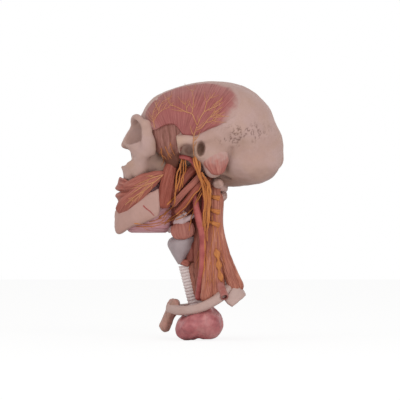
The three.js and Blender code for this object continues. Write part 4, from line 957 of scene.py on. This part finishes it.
temple_muscle = temple_form()
place_pair("temple_muscle", temple_muscle, "temple_red", "muscle", "temporalis")
TEMPLE_NERVES = [
    ([(-0.06, -0.12), (-0.075, -0.02), (-0.078, 0.08), (-0.07, 0.19), (-0.032, 0.33)], 0.85),
    ([(-0.032, 0.33), (-0.063, 0.42), (-0.096, 0.5), (-0.15, 0.52), (-0.24, 0.576), (-0.3, 0.61),
      (-0.36, 0.64), (-0.39, 0.77)], 0.6),
    ([(-0.096, 0.5), (-0.08, 0.62), (-0.078, 0.72), (-0.1, 0.86)], 0.5),
    ([(-0.15, 0.52), (-0.165, 0.6), (-0.18, 0.7)], 0.45),
    ([(-0.032, 0.33), (0.01, 0.45), (0.05, 0.53), (0.087, 0.68), (0.138, 0.75), (0.18, 0.82)], 0.6),
    ([(0.05, 0.53), (0.11, 0.567), (0.21, 0.62), (0.27, 0.68)], 0.55),
    ([(-0.045, 0.26), (0.021, 0.3), (0.065, 0.37), (0.109, 0.44), (0.168, 0.476), (0.24, 0.5),
      (0.3, 0.53)], 0.6),
    ([(0.109, 0.44), (0.153, 0.51), (0.19, 0.6)], 0.5),
    ([(0.065, 0.37), (0.15, 0.4), (0.21, 0.42)], 0.5),
    ([(-0.545, 0.3), (-0.56, 0.4), (-0.568, 0.476), (-0.553, 0.567), (-0.515, 0.64), (-0.48, 0.72)], 0.55),
    ([(-0.56, 0.4), (-0.5, 0.51), (-0.438, 0.567), (-0.36, 0.6)], 0.5),
    ([(-0.5, 0.51), (-0.484, 0.6), (-0.438, 0.71)], 0.45),
]
fine_nerves("temple_nerve", Ground(skull, temple_muscle), head, TEMPLE_NERVES, (5, 0.13, 301), 310,
            "nerve_yellow", "temporal_nerve")


# Muscles of the head
def fossa_form():
    """The deep muscle of the temple, with painted shade that darkens its lower end."""
    places = [(-0.41, 0.75, 0.38), (-0.4, 0.735, 0.2), (-0.385, 0.7, 0.03), (-0.345, 0.6, -0.12),
              (-0.32, 0.5, -0.22)]
    form = strap(routed(head, places), 42, 7, facing=(-0.5, -1, 0), widths=(1.0, 1.05, 0.9, 0.5, 0.25),
                 square=0.75, relief=(44, 0.4), seed=21)
    light_above, dark_below, ragged = 242, 220, 3 * noise(form.points, 23, 10, 2)
    # Painted shade: none above the upper height, full below the lower one
    form.marks[:, 1] = 0.95 * smooth_rise(ragged - form.points[:, 2], -light_above, -dark_below)
    return form


def stump_form():
    """The stump on the mastoid, which fades into the bone, with a slit below the ear."""
    places = [(0.225, 0.74, 0.26), (0.195, 0.785, 0.08), (0.185, 0.81, -0.1), (0.215, 0.785, -0.31)]
    form = strap(routed(head, places), 31, 13, widths=(0.45, 0.85, 1.0, 0.5), depths=(0.1, 0.6, 1, 0.85),
                 relief=(17, 0.35), seed=61, cap=0.35)
    x, y, z = form.points.T
    slit_x, slit_z, slit_breadth, slit_height, slit_depth, outer_side = 17, 233, 1.6, 6, 2.5, -58
    bony_above, fleshy_below, ragged = 231, 206, 2.5 * noise(form.points, 62, 6, 2)
    slit = np.exp(-(((x - slit_x) / slit_breadth) ** 2 + ((z - slit_z) / slit_height) ** 2))
    form.marks[:, 0] = 0.92 - 0.87 * smooth_rise(ragged - z, -bony_above, -fleshy_below)
    form.points = form.points + np.outer(slit * (y < outer_side) * slit_depth, [0, 1, 0])
    return form


def lips_form():
    route = arch(routed(head, [(-0.8, 0.42, -0.5), (-0.92, 0.27, -0.5)]), head(-0.975, 0, -0.49))
    pad = strap(route, 34, 7.5, facing=None, widths=(0.6, 0.95, 1, 0.95, 0.6), relief=(16, 0.25), seed=71)
    p = pad.points

    def level(up, reach):
        return np.exp(-(((p[:, 2] - head(0, 0, up)[2]) / reach) ** 2))

    roll_rise, slit_depth, front_from, front_full = 2.6, 4.0, 84, 97
    slit = level(-0.5, 1.1) * (p[:, 0] < head(-0.86, 0, 0)[0])
    rolls = level(-0.455, 3.0) + level(-0.55, 3.0)
    front = smooth_rise(-p[:, 0], front_from, front_full)
    pad.points = p + np.outer((rolls * roll_rise - slit * slit_depth) * front, FORWARD)
    return pad


fossa = fossa_form()
place_pair("deep_temple_muscle", fossa, "fossa_brown", "muscle", "deep_temporalis")
CHEEK_WIDTHS = (0.85, 1.1, 1.1, 0.8, 0.35)
cheek_muscles = strap_pair("cheek_muscles", "cheek_muscle", "cheek_red", head, [
    ([(-0.92, 0.33, -0.46), (-0.82, 0.46, -0.43), (-0.68, 0.55, -0.36), (-0.52, 0.57, -0.3),
      (-0.43, 0.54, -0.27)],
     14, 7, dict(widths=CHEEK_WIDTHS, relief=(13, 0.35), seed=31)),
    ([(-0.98, 0.18, -0.75), (-0.89, 0.41, -0.64), (-0.72, 0.53, -0.5), (-0.55, 0.57, -0.36),
      (-0.43, 0.55, -0.27)],
     17, 8, dict(widths=CHEEK_WIDTHS, relief=(14, 0.35), seed=32)),
])
# Painted shade darkens the whole inner wing muscle, deep inside the jaw
wing_muscle = strap_pair("inner_wing_muscle", "medial_pterygoid", "pale_red", head, [
    ([(-0.33, 0.5, -0.13), (-0.385, 0.56, -0.33), (-0.42, 0.59, -0.52), (-0.45, 0.57, -0.7)],
     16, 10, dict(widths=(0.8, 1, 1, 1), relief=(14, 0.6), seed=41, tint=(0, 0.35, 0))),
])
# The outer strap is a little paler; the two deeper straps are darker with painted shade
styloid_muscles = strap_pair("styloid_muscles", "styloid_muscles", "pale_red", head, [
    ([(0.04, 0.61, -0.28), (-0.09, 0.61, -0.41), (-0.22, 0.57, -0.54), (-0.34, 0.48, -0.67)],
     7.5, 6, dict(relief=(9, 0.3), seed=51, tint=(0.12, 0, 0))),
    ([(0.06, 0.58, -0.36), (-0.07, 0.58, -0.5), (-0.17, 0.53, -0.63), (-0.29, 0.44, -0.77)],
     8, 6, dict(relief=(9, 0.4), seed=52, tint=(0, 0.35, 0))),
    ([(0.0, 0.54, -0.17), (-0.14, 0.55, -0.29), (-0.27, 0.53, -0.44), (-0.39, 0.46, -0.58)],
     11, 7, dict(relief=(11, 0.5), seed=53, tint=(0, 0.6, 0))),
])
place_pair("stump_muscle", stump_form(), "stump_red", "muscle", "sternomastoid_stump")
lips = lips_form()
place("lips", lips, "cheek_red", "muscle", "lip_muscle")

# Mouth floor, with fibres that run along the jaw, and throat
mouth_floor = level_form([
    (-0.84, -0.42, 0.18, -0.99), (-0.91, -0.36, 0.36, -0.93), (-0.93, -0.3, 0.42, -0.75),
    (-0.92, -0.3, 0.42, -0.6), (-0.89, -0.3, 0.4, -0.44), (-0.84, -0.33, 0.36, -0.35),
], head, seed=81)
mouth_floor.quad_uv = mouth_floor.quad_uv[..., ::-1]
mouth_floor.swell(0.35 * np.sin(mouth_floor.points[:, 2] * 1.3))
place("mouth_floor_muscle", mouth_floor, "lilac", "muscle", "mouth_floor")
place("throat_wall", level_form([
    (-0.19, 0, 0.13, 0.475), (-0.2, -0.01, 0.15, 0.55), (-0.29, 0, 0.17, 0.64), (-0.4, 0.02, 0.2, 0.73),
    (-0.46, 0.04, 0.22, 0.85), (-0.46, 0.05, 0.22, 0.95), (-0.44, 0.04, 0.2, 1.07),
], neck, relief=(26, 0.6), seed=82), "deep_red", "muscle", "pharynx")

# Lower jaw
JAW_SIDE = [(-0.475, 0.58, -0.62), (-0.66, 0.5, -0.7), (-0.84, 0.35, -0.79), (-0.955, 0.16, -0.85)]
jaw_line = arch(routed(head, JAW_SIDE), head(-CHIN_SHARE, 0, -0.865))
jaw = strap(jaw_line, 32, JAW_DEPTH, facing=None, square=0.7, cap=0.35,
            widths=(1.06, 1.03, 0.9, 0.88, 0.92, 0.88, 0.9, 1.03, 1.06), sides=120, step=1.2)
jaw.swell(noise(jaw.points, 15, 26) * 0.4)
place("jaw", jaw, "jaw_bone", "bone", "mandible")

# Fine nerves on the face, and one small vessel
CHEEK_NERVES = [
    ([(-0.44, -0.3), (-0.545, -0.385), (-0.652, -0.474), (-0.79, -0.56), (-0.91, -0.66)], 0.8),
    ([(-0.545, -0.385), (-0.7, -0.445), (-0.85, -0.545)], 0.65),
    ([(-0.44, -0.3), (-0.576, -0.34), (-0.7, -0.39), (-0.8, -0.44)], 0.7),
    ([(-0.652, -0.474), (-0.73, -0.54), (-0.8, -0.62)], 0.6),
]
DEEP_LINES = [
    ([(-0.47, 0.02), (-0.46, -0.06), (-0.44, -0.14), (-0.47, -0.2)], 0.6),
    ([(-0.42, 0.04), (-0.38, -0.06), (-0.34, -0.12)], 0.6),
    ([(-0.36, 0.1), (-0.34, 0.0), (-0.3, -0.08)], 0.5),
]
FLOOR_LINES = [
    ([(-0.8, -0.875), (-0.7, -0.885), (-0.6, -0.885), (-0.46, -0.85), (-0.37, -0.76)], 0.7),
    ([(-0.78, -0.91), (-0.66, -0.915), (-0.54, -0.905), (-0.42, -0.86), (-0.36, -0.8)], 0.6),
    ([(-0.62, -0.86), (-0.52, -0.83), (-0.44, -0.77), (-0.38, -0.68)], 0.6),
]
JAW_VESSEL = [([(-0.69, -0.66), (-0.65, -0.7), (-0.6, -0.735), (-0.55, -0.79)], 0.75)]
cheek_ground = Ground(cheek_muscles, lips, jaw, skull)
fine_nerves("cheek_nerve", cheek_ground, head, CHEEK_NERVES, (4, 0.09, 302), 340, "nerve_yellow")
fine_nerves("deep_lines", Ground(fossa, skull), head, DEEP_LINES, (2, 0.07, 305), 380)
fine_nerves("floor_lines", Ground(mouth_floor, jaw), head, FLOOR_LINES, (2, 0.08, 304), 370)
place_pair("jaw_vessel", cheek_ground.nerves(JAW_VESSEL, head, 350), "artery_pink", "artery")


# Bones of the spine
def neck_bones():
    places = [(0.11, 0, 0.82), (0.09, 0, 0.7), (0.12, 0, 0.58), (0.19, 0, 0.45), (0.28, 0, 0.33)]
    space = Volume(exact, (-10, -30, 50), (60, 30, 182), 0.9)
    for centre in smooth(routed(neck, places), 11)[1::2]:
        space.ball(centre, (17, 26, 19), 2)
        space.ball(centre - [0, 0, 12.5], (14, 22, 7), 3)
        for side in (-1, 1):
            space.ball(centre + [7, side * 12, 0], (12, 12, 18), 3)
            space.chain([centre + [2, side * 9, -2], centre + [2, side * 19, -5]], 8, 6, 3, facing=UPWARD)
            space.chain([centre + [7, side * 11, 0], centre + [12, 0, -4]], 10, 5, 3, facing=FORWARD)
    return space


def top_bone(bars, ball=None):
    space = Volume(neck, (-2, -52, 150), (52, 52, 206), 0.9)
    if ball:
        space.ball(*ball)
    for *bar, more in bars:
        space.chain(*bar, 3, both=True, **{"facing": UPWARD, **more})
    return space


def hyoid_bone():
    space = Volume(neck, (-46, -34, 128), (6, 34, 166), 0.6)
    space.chain([(-0.05, 0.25, 0.765), (-0.17, 0.245, 0.73), (-0.29, 0.19, 0.69), (-0.365, 0.07, 0.672)],
                6, 4.4, 2, facing=None, widths=(0.7, 0.75, 1.0, 1.25), both=True)
    space.chain([(-0.37, 0.06, 0.67), (-0.37, -0.06, 0.67)], 8, 6, 2, facing=None)
    space.chain([(-0.27, 0.2, 0.7), (-0.235, 0.22, 0.735), (-0.2, 0.23, 0.775)], 12, 4, 2,
                widths=(1.1, 1, 0.7), both=True)
    space.chain([(-0.2, 0.25, 0.775), (-0.175, 0.255, 0.765)], 5, 5, 1, both=True)
    return space


def breast_bone():
    space = Volume(neck, (-60, -36, 4), (-14, 36, 58), 0.8)
    space.chain([(-0.325, 0, 0.195), (-0.375, 0, 0.14), (-0.425, 0, 0.08)], 46, 13.5, 2, facing=FORWARD,
                widths=(1.05, 0.9, 0.7), depths=(1.1, 1, 1.1))
    space.chain([(-0.33, 0.05, 0.215), (-0.31, 0.22, 0.21)], 14, 13, 4, facing=FORWARD, both=True)
    space.ball((-0.34, 0, 0.262), (16, 22, 12), 4, carve=True)
    return space


place("neck_bones", roughened(neck_bones().skin(), 91), "bone", "bone", "cervical_column")
place("first_neck_bone", roughened(top_bone([
    ([(0.17, 0.16, 0.94), (0.2, 0.34, 0.955), (0.225, 0.41, 0.95)], 13, 12, dict(widths=(1.2, 0.9, 1))),
    ([(0.2, 0.2, 0.94), (0.27, 0.2, 0.925), (0.29, 0, 0.92)], 10, 9, {}),
    ([(0.11, 0, 0.94), (0.16, 0.14, 0.94)], 8, 7, {}),
]).skin(), 92), "bone", "bone", "atlas")
place("second_neck_bone", roughened(top_bone([
    ([(0.14, 0.1, 0.86), (0.16, 0.25, 0.85)], 11, 10, {}),
    ([(0.2, 0.13, 0.865), (0.27, 0, 0.87)], 13, 7, dict(facing=FORWARD)),
    ([(0.255, 0.12, 0.87), (0.28, 0, 0.88)], 10, 10, {}),
], ball=((0.12, 0, 0.86), (17, 22, 20), 3)).skin(), 93), "bone", "bone", "axis")

# Hyoid, ribs and breastbone
hyoid = roughened(hyoid_bone().skin(relax=1), 94, 0.12)
place("hyoid_bone", hyoid, "hyoid_lilac", "bone", "hyoid")
strap_pair("first_rib_bone", "first_rib", "rib_bone", neck, [
    ([(-0.36, 0.13, 0.195), (-0.22, 0.38, 0.18), (0, 0.54, 0.2), (0.2, 0.56, 0.25), (0.35, 0.42, 0.315),
      (0.4, 0.18, 0.36)],
     13, 11.5, dict(facing=UPWARD, widths=(1.2, 0.95, 1, 1.05, 1, 0.8), depths=(1.1, 1, 1, 1, 0.9, 0.7),
                    square=0.75, cap=0.3)),
], "bone")
strap_pair("second_rib_bone", "second_rib", "rib_bone", neck, [
    ([(0.338, 0.55, 0.222), (0.41, 0.52, 0.262), (0.465, 0.45, 0.291), (0.485, 0.35, 0.3)],
     15.5, 8, dict(square=0.45, cap=0.06, widths=(0.8, 1, 1.15, 1.15))),
], "bone")
place("breast_bone", roughened(breast_bone().skin(), 95, 0.3), "plate_bone", "bone", "manubrium")


# Voice box and windpipe
def shield_form():
    """The shield cartilage with its keel in front and a slanting line on either side."""
    form = level_form([
        (-0.255, -0.21, 0.1, 0.46), (-0.305, -0.16, 0.15, 0.5), (-0.35, -0.1, 0.19, 0.54),
        (-0.385, -0.065, 0.215, 0.58), (-0.365, -0.04, 0.22, 0.608), (-0.3, -0.03, 0.21, 0.628),
    ], neck, sides=140, steps=60, square=0.85)
    x, y, z = form.points.T
    keel_breadth, keel_from, keel_full, keel_rise = 5, 12, 26, 1.2
    line_x, line_z, line_breadth, line_side, line_rise = -12, 112, 2, 8, 0.7
    pale_above, dark_below = 100, 92
    keel = np.exp(-((y / keel_breadth) ** 2)) * smooth_rise(-x, keel_from, keel_full)
    across = (x - line_x) * 0.5 + (z - line_z) * 0.35
    line = np.exp(-(across / line_breadth) ** 2) * (np.abs(y) > line_side)
    form.marks[:, 0] = smooth_rise(-z, -pale_above, -dark_below) * 0.4
    form.swell(keel * keel_rise + line * line_rise)
    return form


def windpipe_form():
    """A ringed pipe that leans back and is open below."""
    lean, length, ring_count, radius, ring_rise = 0.25, 50.0, 13, 9.0, 0.7
    steps, bore_share, rim_width, bore_depth, perimeter = 170, 0.72, 3, 12, 56
    top, way = neck(-0.175, 0, 0.455), np.array([math.sin(lean), 0, -math.cos(lean)])
    sideways = np.array([0, 1.0, 0])
    along = np.linspace(0, length, steps)
    crest = np.clip((0.5 + 0.5 * np.cos(2 * math.pi * along * ring_count / length)) * 1.5, 0, 1)
    size = radius - ring_rise + ring_rise * crest
    _, c, s = around(72)
    section = sideways * s[:, None] + np.cross(way, sideways) * c[:, None]
    rings = (top + way * along[:, None])[:, None] + section * size[:, None, None]
    centre = top + way * length
    rim = centre + (rings[-1] - centre) * bore_share
    deep = rim - way * bore_depth
    rings = np.concatenate([rings, [rim, deep]])
    marks = np.zeros(rings.shape)
    marks[:steps, :, 0] = (1 - crest)[:, None] * 0.35
    # Painted shade inside the open bore, darker towards its deep end
    marks[-1, :, 0] = 1
    along = np.append(along, [length + rim_width, length + rim_width + bore_depth])
    return grid_form(rings, along, perimeter, (top, deep.mean(0)), marks)


place("shield", shield_form(), "cartilage", "cartilage", "thyroid_cartilage")
place("windpipe", windpipe_form(), "ringed", "cartilage", "trachea")
ring_sides = [
    strap(routed(neck, [(-0.19, side * 0.02, 0.5), (-0.2, side * 0.1, 0.475), (-0.12, side * 0.115, 0.46)]),
          8, 4.5, relief=(8, 0.35), seed=101) for side in (-1, 1)
]
ring_front = strap(routed(neck, [(-0.22, 0, 0.49), (-0.19, 0, 0.455)]), 20, 14, facing=FORWARD,
                   relief=(16, 0.35), seed=102)
place("ring_muscle", merged([*ring_sides, ring_front]), "cheek_red", "muscle", "cricothyroid_muscle")
gullet = strap(routed(neck, [(-0.09, 0, 0.49), (-0.06, 0, 0.4), (-0.02, 0, 0.3), (0.02, 0, 0.23)]), 26, 17,
               facing=FORWARD, relief=(16, 0.4), seed=103)
place("gullet", gullet, "gland_brown", "muscle", "oesophagus")

# Muscles of the neck
NECK_RELIEF = (14, 0.5)
shield_muscle = strap_pair("shield_muscle", "thyrohyoid", "thyroid_brown", neck, [
    ([(-0.235, 0.2, 0.72), (-0.21, 0.245, 0.67), (-0.19, 0.243, 0.61)],
     28, 6.5, dict(widths=(0.9, 1.05, 0.85), relief=(24, 0.4), seed=111, cap=0.9)),
])
front_muscles = strap_pair("front_neck_muscles", "scalene_muscle", "neck_red", neck, [
    # The innermost strap is darker with painted shade
    ([(0.03, 0.16, 0.93), (0.02, 0.17, 0.72), (0.01, 0.18, 0.5), (0.04, 0.22, 0.35), (0.08, 0.3, 0.26)],
     17, 12, dict(relief=NECK_RELIEF, seed=120, tint=(0, 0.6, 0))),
    ([(0.11, 0.26, 1.0), (0.11, 0.27, 0.76), (0.115, 0.3, 0.6), (0.12, 0.33, 0.45), (0.1, 0.42, 0.3),
      (0.07, 0.48, 0.23)],
     16, 14, dict(widths=(0.9, 1, 1, 1, 1.1, 1), relief=NECK_RELIEF, seed=121)),
    ([(0.18, 0.27, 0.965), (0.185, 0.3, 0.78), (0.19, 0.32, 0.6), (0.2, 0.35, 0.45), (0.22, 0.43, 0.3),
      (0.23, 0.48, 0.25)],
     16, 16, dict(widths=(0.8, 0.95, 1, 1.05, 1.1, 1), relief=NECK_RELIEF, seed=122)),
])
back_muscles = strap_pair("back_neck_muscles", "levator_scapulae", "neck_red", neck, [
    ([(0.22, 0.22, 0.9), (0.215, 0.27, 0.72), (0.26, 0.32, 0.55), (0.34, 0.36, 0.42), (0.44, 0.45, 0.29)],
     13, 15, dict(relief=(13, 0.5), seed=131)),
    ([(0.235, 0.16, 0.88), (0.22, 0.2, 0.7), (0.285, 0.26, 0.55), (0.385, 0.31, 0.42), (0.5, 0.39, 0.3)],
     13, 15, dict(relief=(13, 0.5), seed=132)),
])
NECK_TWIGS = [
    ([(0.088, 0.743), (0.057, 0.62), (0.075, 0.508), (0.088, 0.386), (0.06, 0.3)], 0.5),
    ([(0.149, 0.763), (0.165, 0.652), (0.129, 0.54), (0.139, 0.427), (0.108, 0.325)], 0.5),
    ([(0.2, 0.6), (0.18, 0.468), (0.149, 0.345)], 0.45),
    ([(0.0, 0.6), (-0.014, 0.447), (-0.02, 0.34)], 0.45),
    ([(0.2, 0.8), (0.215, 0.7), (0.25, 0.58), (0.31, 0.46)], 0.4),
]
neck_ground = Ground(front_muscles, back_muscles)
fine_nerves("neck_twigs", neck_ground, neck, NECK_TWIGS, (3, 0.08, 303), 360)

# Arteries
place_pair("neck_artery", merged([
    tube(routed(neck, [
        (-0.07, 0.34, 0.9), (-0.055, 0.34, 0.85), (-0.035, 0.34, 0.79), (0.0, 0.34, 0.73),
        (0.035, 0.35, 0.65), (0.035, 0.36, 0.55), (0.03, 0.35, 0.45), (0.005, 0.33, 0.35),
        (-0.02, 0.28, 0.24),
    ]), 4.3, radii=(0.7, 0.9, 1.25, 1.2, 1, 0.95, 0.95, 1, 1), sides=28, seed=141),
    tube(routed(neck, [(0.02, 0.28, 0.72), (0.055, 0.29, 0.84), (0.03, 0.28, 0.93), (0.02, 0.27, 1)]), 3.2,
         sides=20, seed=142),
]), "artery_pink", "artery", "carotid")
place_pair("jaw_artery", tube(routed(head, [
    (-0.37, 0.5, -0.11), (-0.25, 0.62, -0.09), (-0.12, 0.68, -0.12), (-0.04, 0.66, -0.22),
    (0.01, 0.58, -0.32), (-0.02, 0.48, -0.42),
]), 2.8, sides=20, seed=143), "artery_pink", "artery", "maxillary_artery")
place_pair("arm_artery", open_tube(routed(neck, [
    (0.15, 0.3, 0.37), (0.23, 0.42, 0.345), (0.28, 0.56, 0.295), (0.3, 0.63, 0.265),
]), 4.7, wall=1.4, depth=9, seed=144), "artery_pale", "artery", "subclavian_artery")

# Nerves of the neck: places, radius and its shares along the nerve
NERVE_SHARES, ROOT_SHARES = (1.2, 1.1, 1, 0.7, 0.5), (0.9, 1.2, 1.1, 0.8, 0.5)
LONG_NERVES = [
    ([(-0.055, 0.6, 1.12), (-0.02, 0.58, 1.04), (0.02, 0.53, 0.98), (0.06, 0.42, 0.86), (0.06, 0.39, 0.7),
      (0.05, 0.39, 0.42), (0.03, 0.42, 0.26)], 1.3, (1.2, 1.2, 1, 0.8, 0.7)),
    ([(-0.075, 0.58, 1.11), (-0.05, 0.58, 1.05), (-0.005, 0.54, 0.99), (0.05, 0.45, 0.92),
      (0.045, 0.4, 0.75), (0.02, 0.38, 0.62)], 1.2, NERVE_SHARES),
    ([(-0.04, 0.58, 1.13), (0.005, 0.58, 1.06), (0.0, 0.56, 1.0), (0.07, 0.46, 0.93), (0.075, 0.42, 0.8),
      (0.07, 0.42, 0.66)], 1.0, NERVE_SHARES),
]
ROOT_NERVES = [
    ([(0.02, 0.57, 1.02), (0.075, 0.5, 0.97), (0.1, 0.43, 0.88), (0.1, 0.42, 0.74), (0.09, 0.42, 0.6)],
     1.3, ROOT_SHARES),
    ([(0.03, 0.56, 1.0), (0.1, 0.48, 0.96), (0.125, 0.43, 0.88), (0.115, 0.42, 0.78), (0.105, 0.42, 0.68)],
     1.3, ROOT_SHARES),
]


def wavy_nerves(nerves, wave_seed, seed):
    return [
        tube(wavy(routed(neck, places), 0.3, wave_seed + i), *size, relief=(3, 0.2), seed=seed + i)
        for i, (places, *size) in enumerate(nerves)
    ]


def root_spurs():
    """Short flat nerves that leave the roots and lie on the muscle."""
    spurs = []
    for index, up in enumerate((0.875, 0.795, 0.72)):
        start = neck(0.115, 0.415, up)
        end = start + [13, 1.5, -3 - index]
        line = neck_ground.laid([start, (start + end) / 2, end], 0.7)
        spurs.append(strap(line, 6.2, 2.6, widths=(0.45, 0.8, 1.1), sides=32, step=0.6, square=0.8,
                           relief=(6, 0.25), seed=160 + index))
    return spurs


place_pair("long_nerve", merged(wavy_nerves(LONG_NERVES, 0, 150)), "nerve_orange", "nerve", "vagus_nerve")
roots = merged(wavy_nerves(ROOT_NERVES, 3, 154) + root_spurs())
place_pair("neck_nerve_roots", roots, "nerve_orange", "nerve", "cervical_nerve_roots")
strap_pair("arm_nerves", "brachial_plexus", "nerve_orange", neck, [
    ([(0.19, 0.415, 0.56), (0.225, 0.43, 0.49), (0.235, 0.45, 0.425), (0.265, 0.47, 0.355)], 7.5, 3.6,
     dict(widths=(0.25, 1.1, 0.35, 1, 0.35, 0.95, 0.3), sides=40, step=0.6, relief=(6, 0.3), seed=171)),
], "nerve")

# Nerves of jaw and tongue, which come to rest on the muscles below them: places and radius
JAW_NERVES = [
    ([(-0.2, 0.6, -0.1), (-0.265, 0.66, -0.27), (-0.29, 0.67, -0.4), (-0.3, 0.66, -0.55),
      (-0.4, 0.6, -0.66)], 1.0),
    ([(-0.2, 0.62, -0.12), (-0.2, 0.66, -0.26), (-0.23, 0.67, -0.4), (-0.25, 0.66, -0.5)], 0.8),
    ([(-0.22, 0.63, -0.1), (-0.235, 0.67, -0.24), (-0.25, 0.67, -0.36), (-0.28, 0.66, -0.48)], 0.9),
    ([(-0.18, 0.62, -0.1), (-0.17, 0.66, -0.22), (-0.2, 0.66, -0.33), (-0.21, 0.66, -0.46)], 0.7),
    ([(-0.3, 0.66, -0.5), (-0.31, 0.64, -0.64), (-0.4, 0.58, -0.74), (-0.5, 0.54, -0.8)], 0.8),
]
TONGUE_NERVES = [
    ([(0.055, 0.43, 0.98), (0.01, 0.43, 0.93), (-0.09, 0.42, 0.87), (-0.2, 0.42, 0.8),
      (-0.4, 0.42, 0.72)], 0.7),
    ([(0.05, 0.42, 0.94), (-0.03, 0.41, 0.87), (-0.12, 0.38, 0.81), (-0.26, 0.38, 0.755),
      (-0.44, 0.4, 0.7)], 0.6),
    ([(-0.03, 0.41, 0.87), (-0.07, 0.38, 0.8), (-0.11, 0.33, 0.73), (-0.13, 0.3, 0.66)], 0.6),
    ([(0.03, 0.42, 0.9), (-0.06, 0.4, 0.82), (-0.17, 0.37, 0.76), (-0.3, 0.36, 0.73)], 0.55),
]
throat_ground = Ground(wing_muscle, styloid_muscles, mouth_floor, jaw, hyoid, shield_muscle)
for name, node, frame_of, nerves, sides, seed in (
    ("jaw_nerve", "mandibular_nerve", head, JAW_NERVES, 12, 180),
    ("tongue_nerve", "hypoglossal_nerve", neck, TONGUE_NERVES, 10, 190),
):
    forms = [
        tube(throat_ground.settled(routed(frame_of, places), radius * 0.6), radius,
             sides=sides, seed=seed + i)
        for i, (places, radius) in enumerate(nerves)
    ]
    place_pair(name, merged(forms), "nerve_orange", "nerve", node)


# Top of the lung, flat below
def lung_form():
    space = Volume(neck, (-36, -66, -3), (36, -2, 50), 0.85)
    space.ball((-0.12, 0.36, 0.075), (32, 48, 31), 6)
    space.ball((0.083, 0.36, 0.105), (38, 51, 36), 9, tilt=0.45)
    space.chain([(0.08, 0.35, 0.15), (0.105, 0.36, 0.205)], 19, 25, 6, widths=(1, 0.6), depths=(1, 0.7))
    form = space.skin()
    form.swell(noise(form.points, 201, 30, 2) * 0.9 + noise(form.points, 202, 9, 2) * 0.2)
    form.points[:, 2] = np.maximum(form.points[:, 2], 0.0)
    return form


place_pair("lung_top", lung_form(), "lung_pink", "lung", "lung_apex")


# Room, floor, lights and camera, in metres
def emptied_tree(data):
    data.use_nodes = True
    data.node_tree.nodes.clear()
    return data.node_tree


def light_room():
    """A warm room, which camera, see-through and glossy rays see as plain white."""
    world = bpy.data.worlds.new("studio")
    bpy.context.scene.world = world
    tree = emptied_tree(world)
    seen = add_node(tree, "LightPath", out="Is Camera Ray")
    for kind in ("Transmission", "Glossy"):
        ray = add_node(tree, "LightPath", out=f"Is {kind} Ray")
        seen = add_node(tree, "Math", {0: seen, 1: ray}, operation="MAXIMUM")
    room = add_node(tree, "Background", {"Color": (1.0, 0.985, 0.97), "Strength": 0.6})
    white = add_node(tree, "Background", {"Color": (1, 1, 1)})
    add_node(tree, "OutputWorld", {"Surface": add_node(tree, "MixShader", {0: seen, 1: room, 2: white})})


def lay_floor(reach=3, glow_share=0.8, glow_strength=1.07):
    """A matt floor that glows for the camera alone, so that it is white and keeps the shadow."""
    mesh = bpy.data.meshes.new("floor")
    corners = [(-reach, -reach, 0), (reach, -reach, 0), (reach, reach, 0), (-reach, reach, 0)]
    mesh.from_pydata(corners, [], [(0, 1, 2, 3)])
    floor = bpy.data.objects.new("floor", mesh)
    bpy.context.scene.collection.objects.link(floor)
    material = bpy.data.materials.new("floor_white")
    tree = emptied_tree(material)
    matt = add_node(tree, "BsdfDiffuse", {"Color": (0.9, 0.9, 0.9)})
    glow = add_node(tree, "Emission", {"Strength": glow_strength})
    ray = add_node(tree, "LightPath", out="Is Camera Ray")
    share = add_node(tree, "Math", {0: ray, 1: glow_share}, operation="MULTIPLY")
    add_node(tree, "OutputMaterial", {"Surface": add_node(tree, "MixShader", {0: share, 1: matt, 2: glow})})
    mesh.materials.append(material)


def hang_light(name, where, size, power, aim_height=0.18):
    lamp = bpy.data.lights.new(name, "AREA")
    lamp.size, lamp.energy = size, power
    light = bpy.data.objects.new(name, lamp)
    light.location = where
    aim = np.array([0, 0, aim_height]) - np.array(where)
    light.rotation_euler = Vector(aim).to_track_quat("-Z", "Y").to_euler()
    bpy.context.scene.collection.objects.link(light)


def make_camera(away=4.0, shown=0.490, sensor=36):
    camera = bpy.data.objects.new("camera", bpy.data.cameras.new("camera"))
    camera.data.sensor_width = sensor
    camera.data.lens = sensor * away / shown
    camera.data.clip_end = 50
    camera.location = (0.0006, -away, 0.1703)
    camera.rotation_euler = (math.pi / 2, 0, 0)
    bpy.context.scene.collection.objects.link(camera)
    bpy.context.scene.camera = camera


light_room()
lay_floor()
hang_light("key", (1.15, -2.25, 1.1), 2.2, 26.5)
hang_light("fill", (-1.8, -1.4, 0.7), 1.6, 11)
make_camera()
bpy.context.scene.view_settings.view_transform = "Standard"
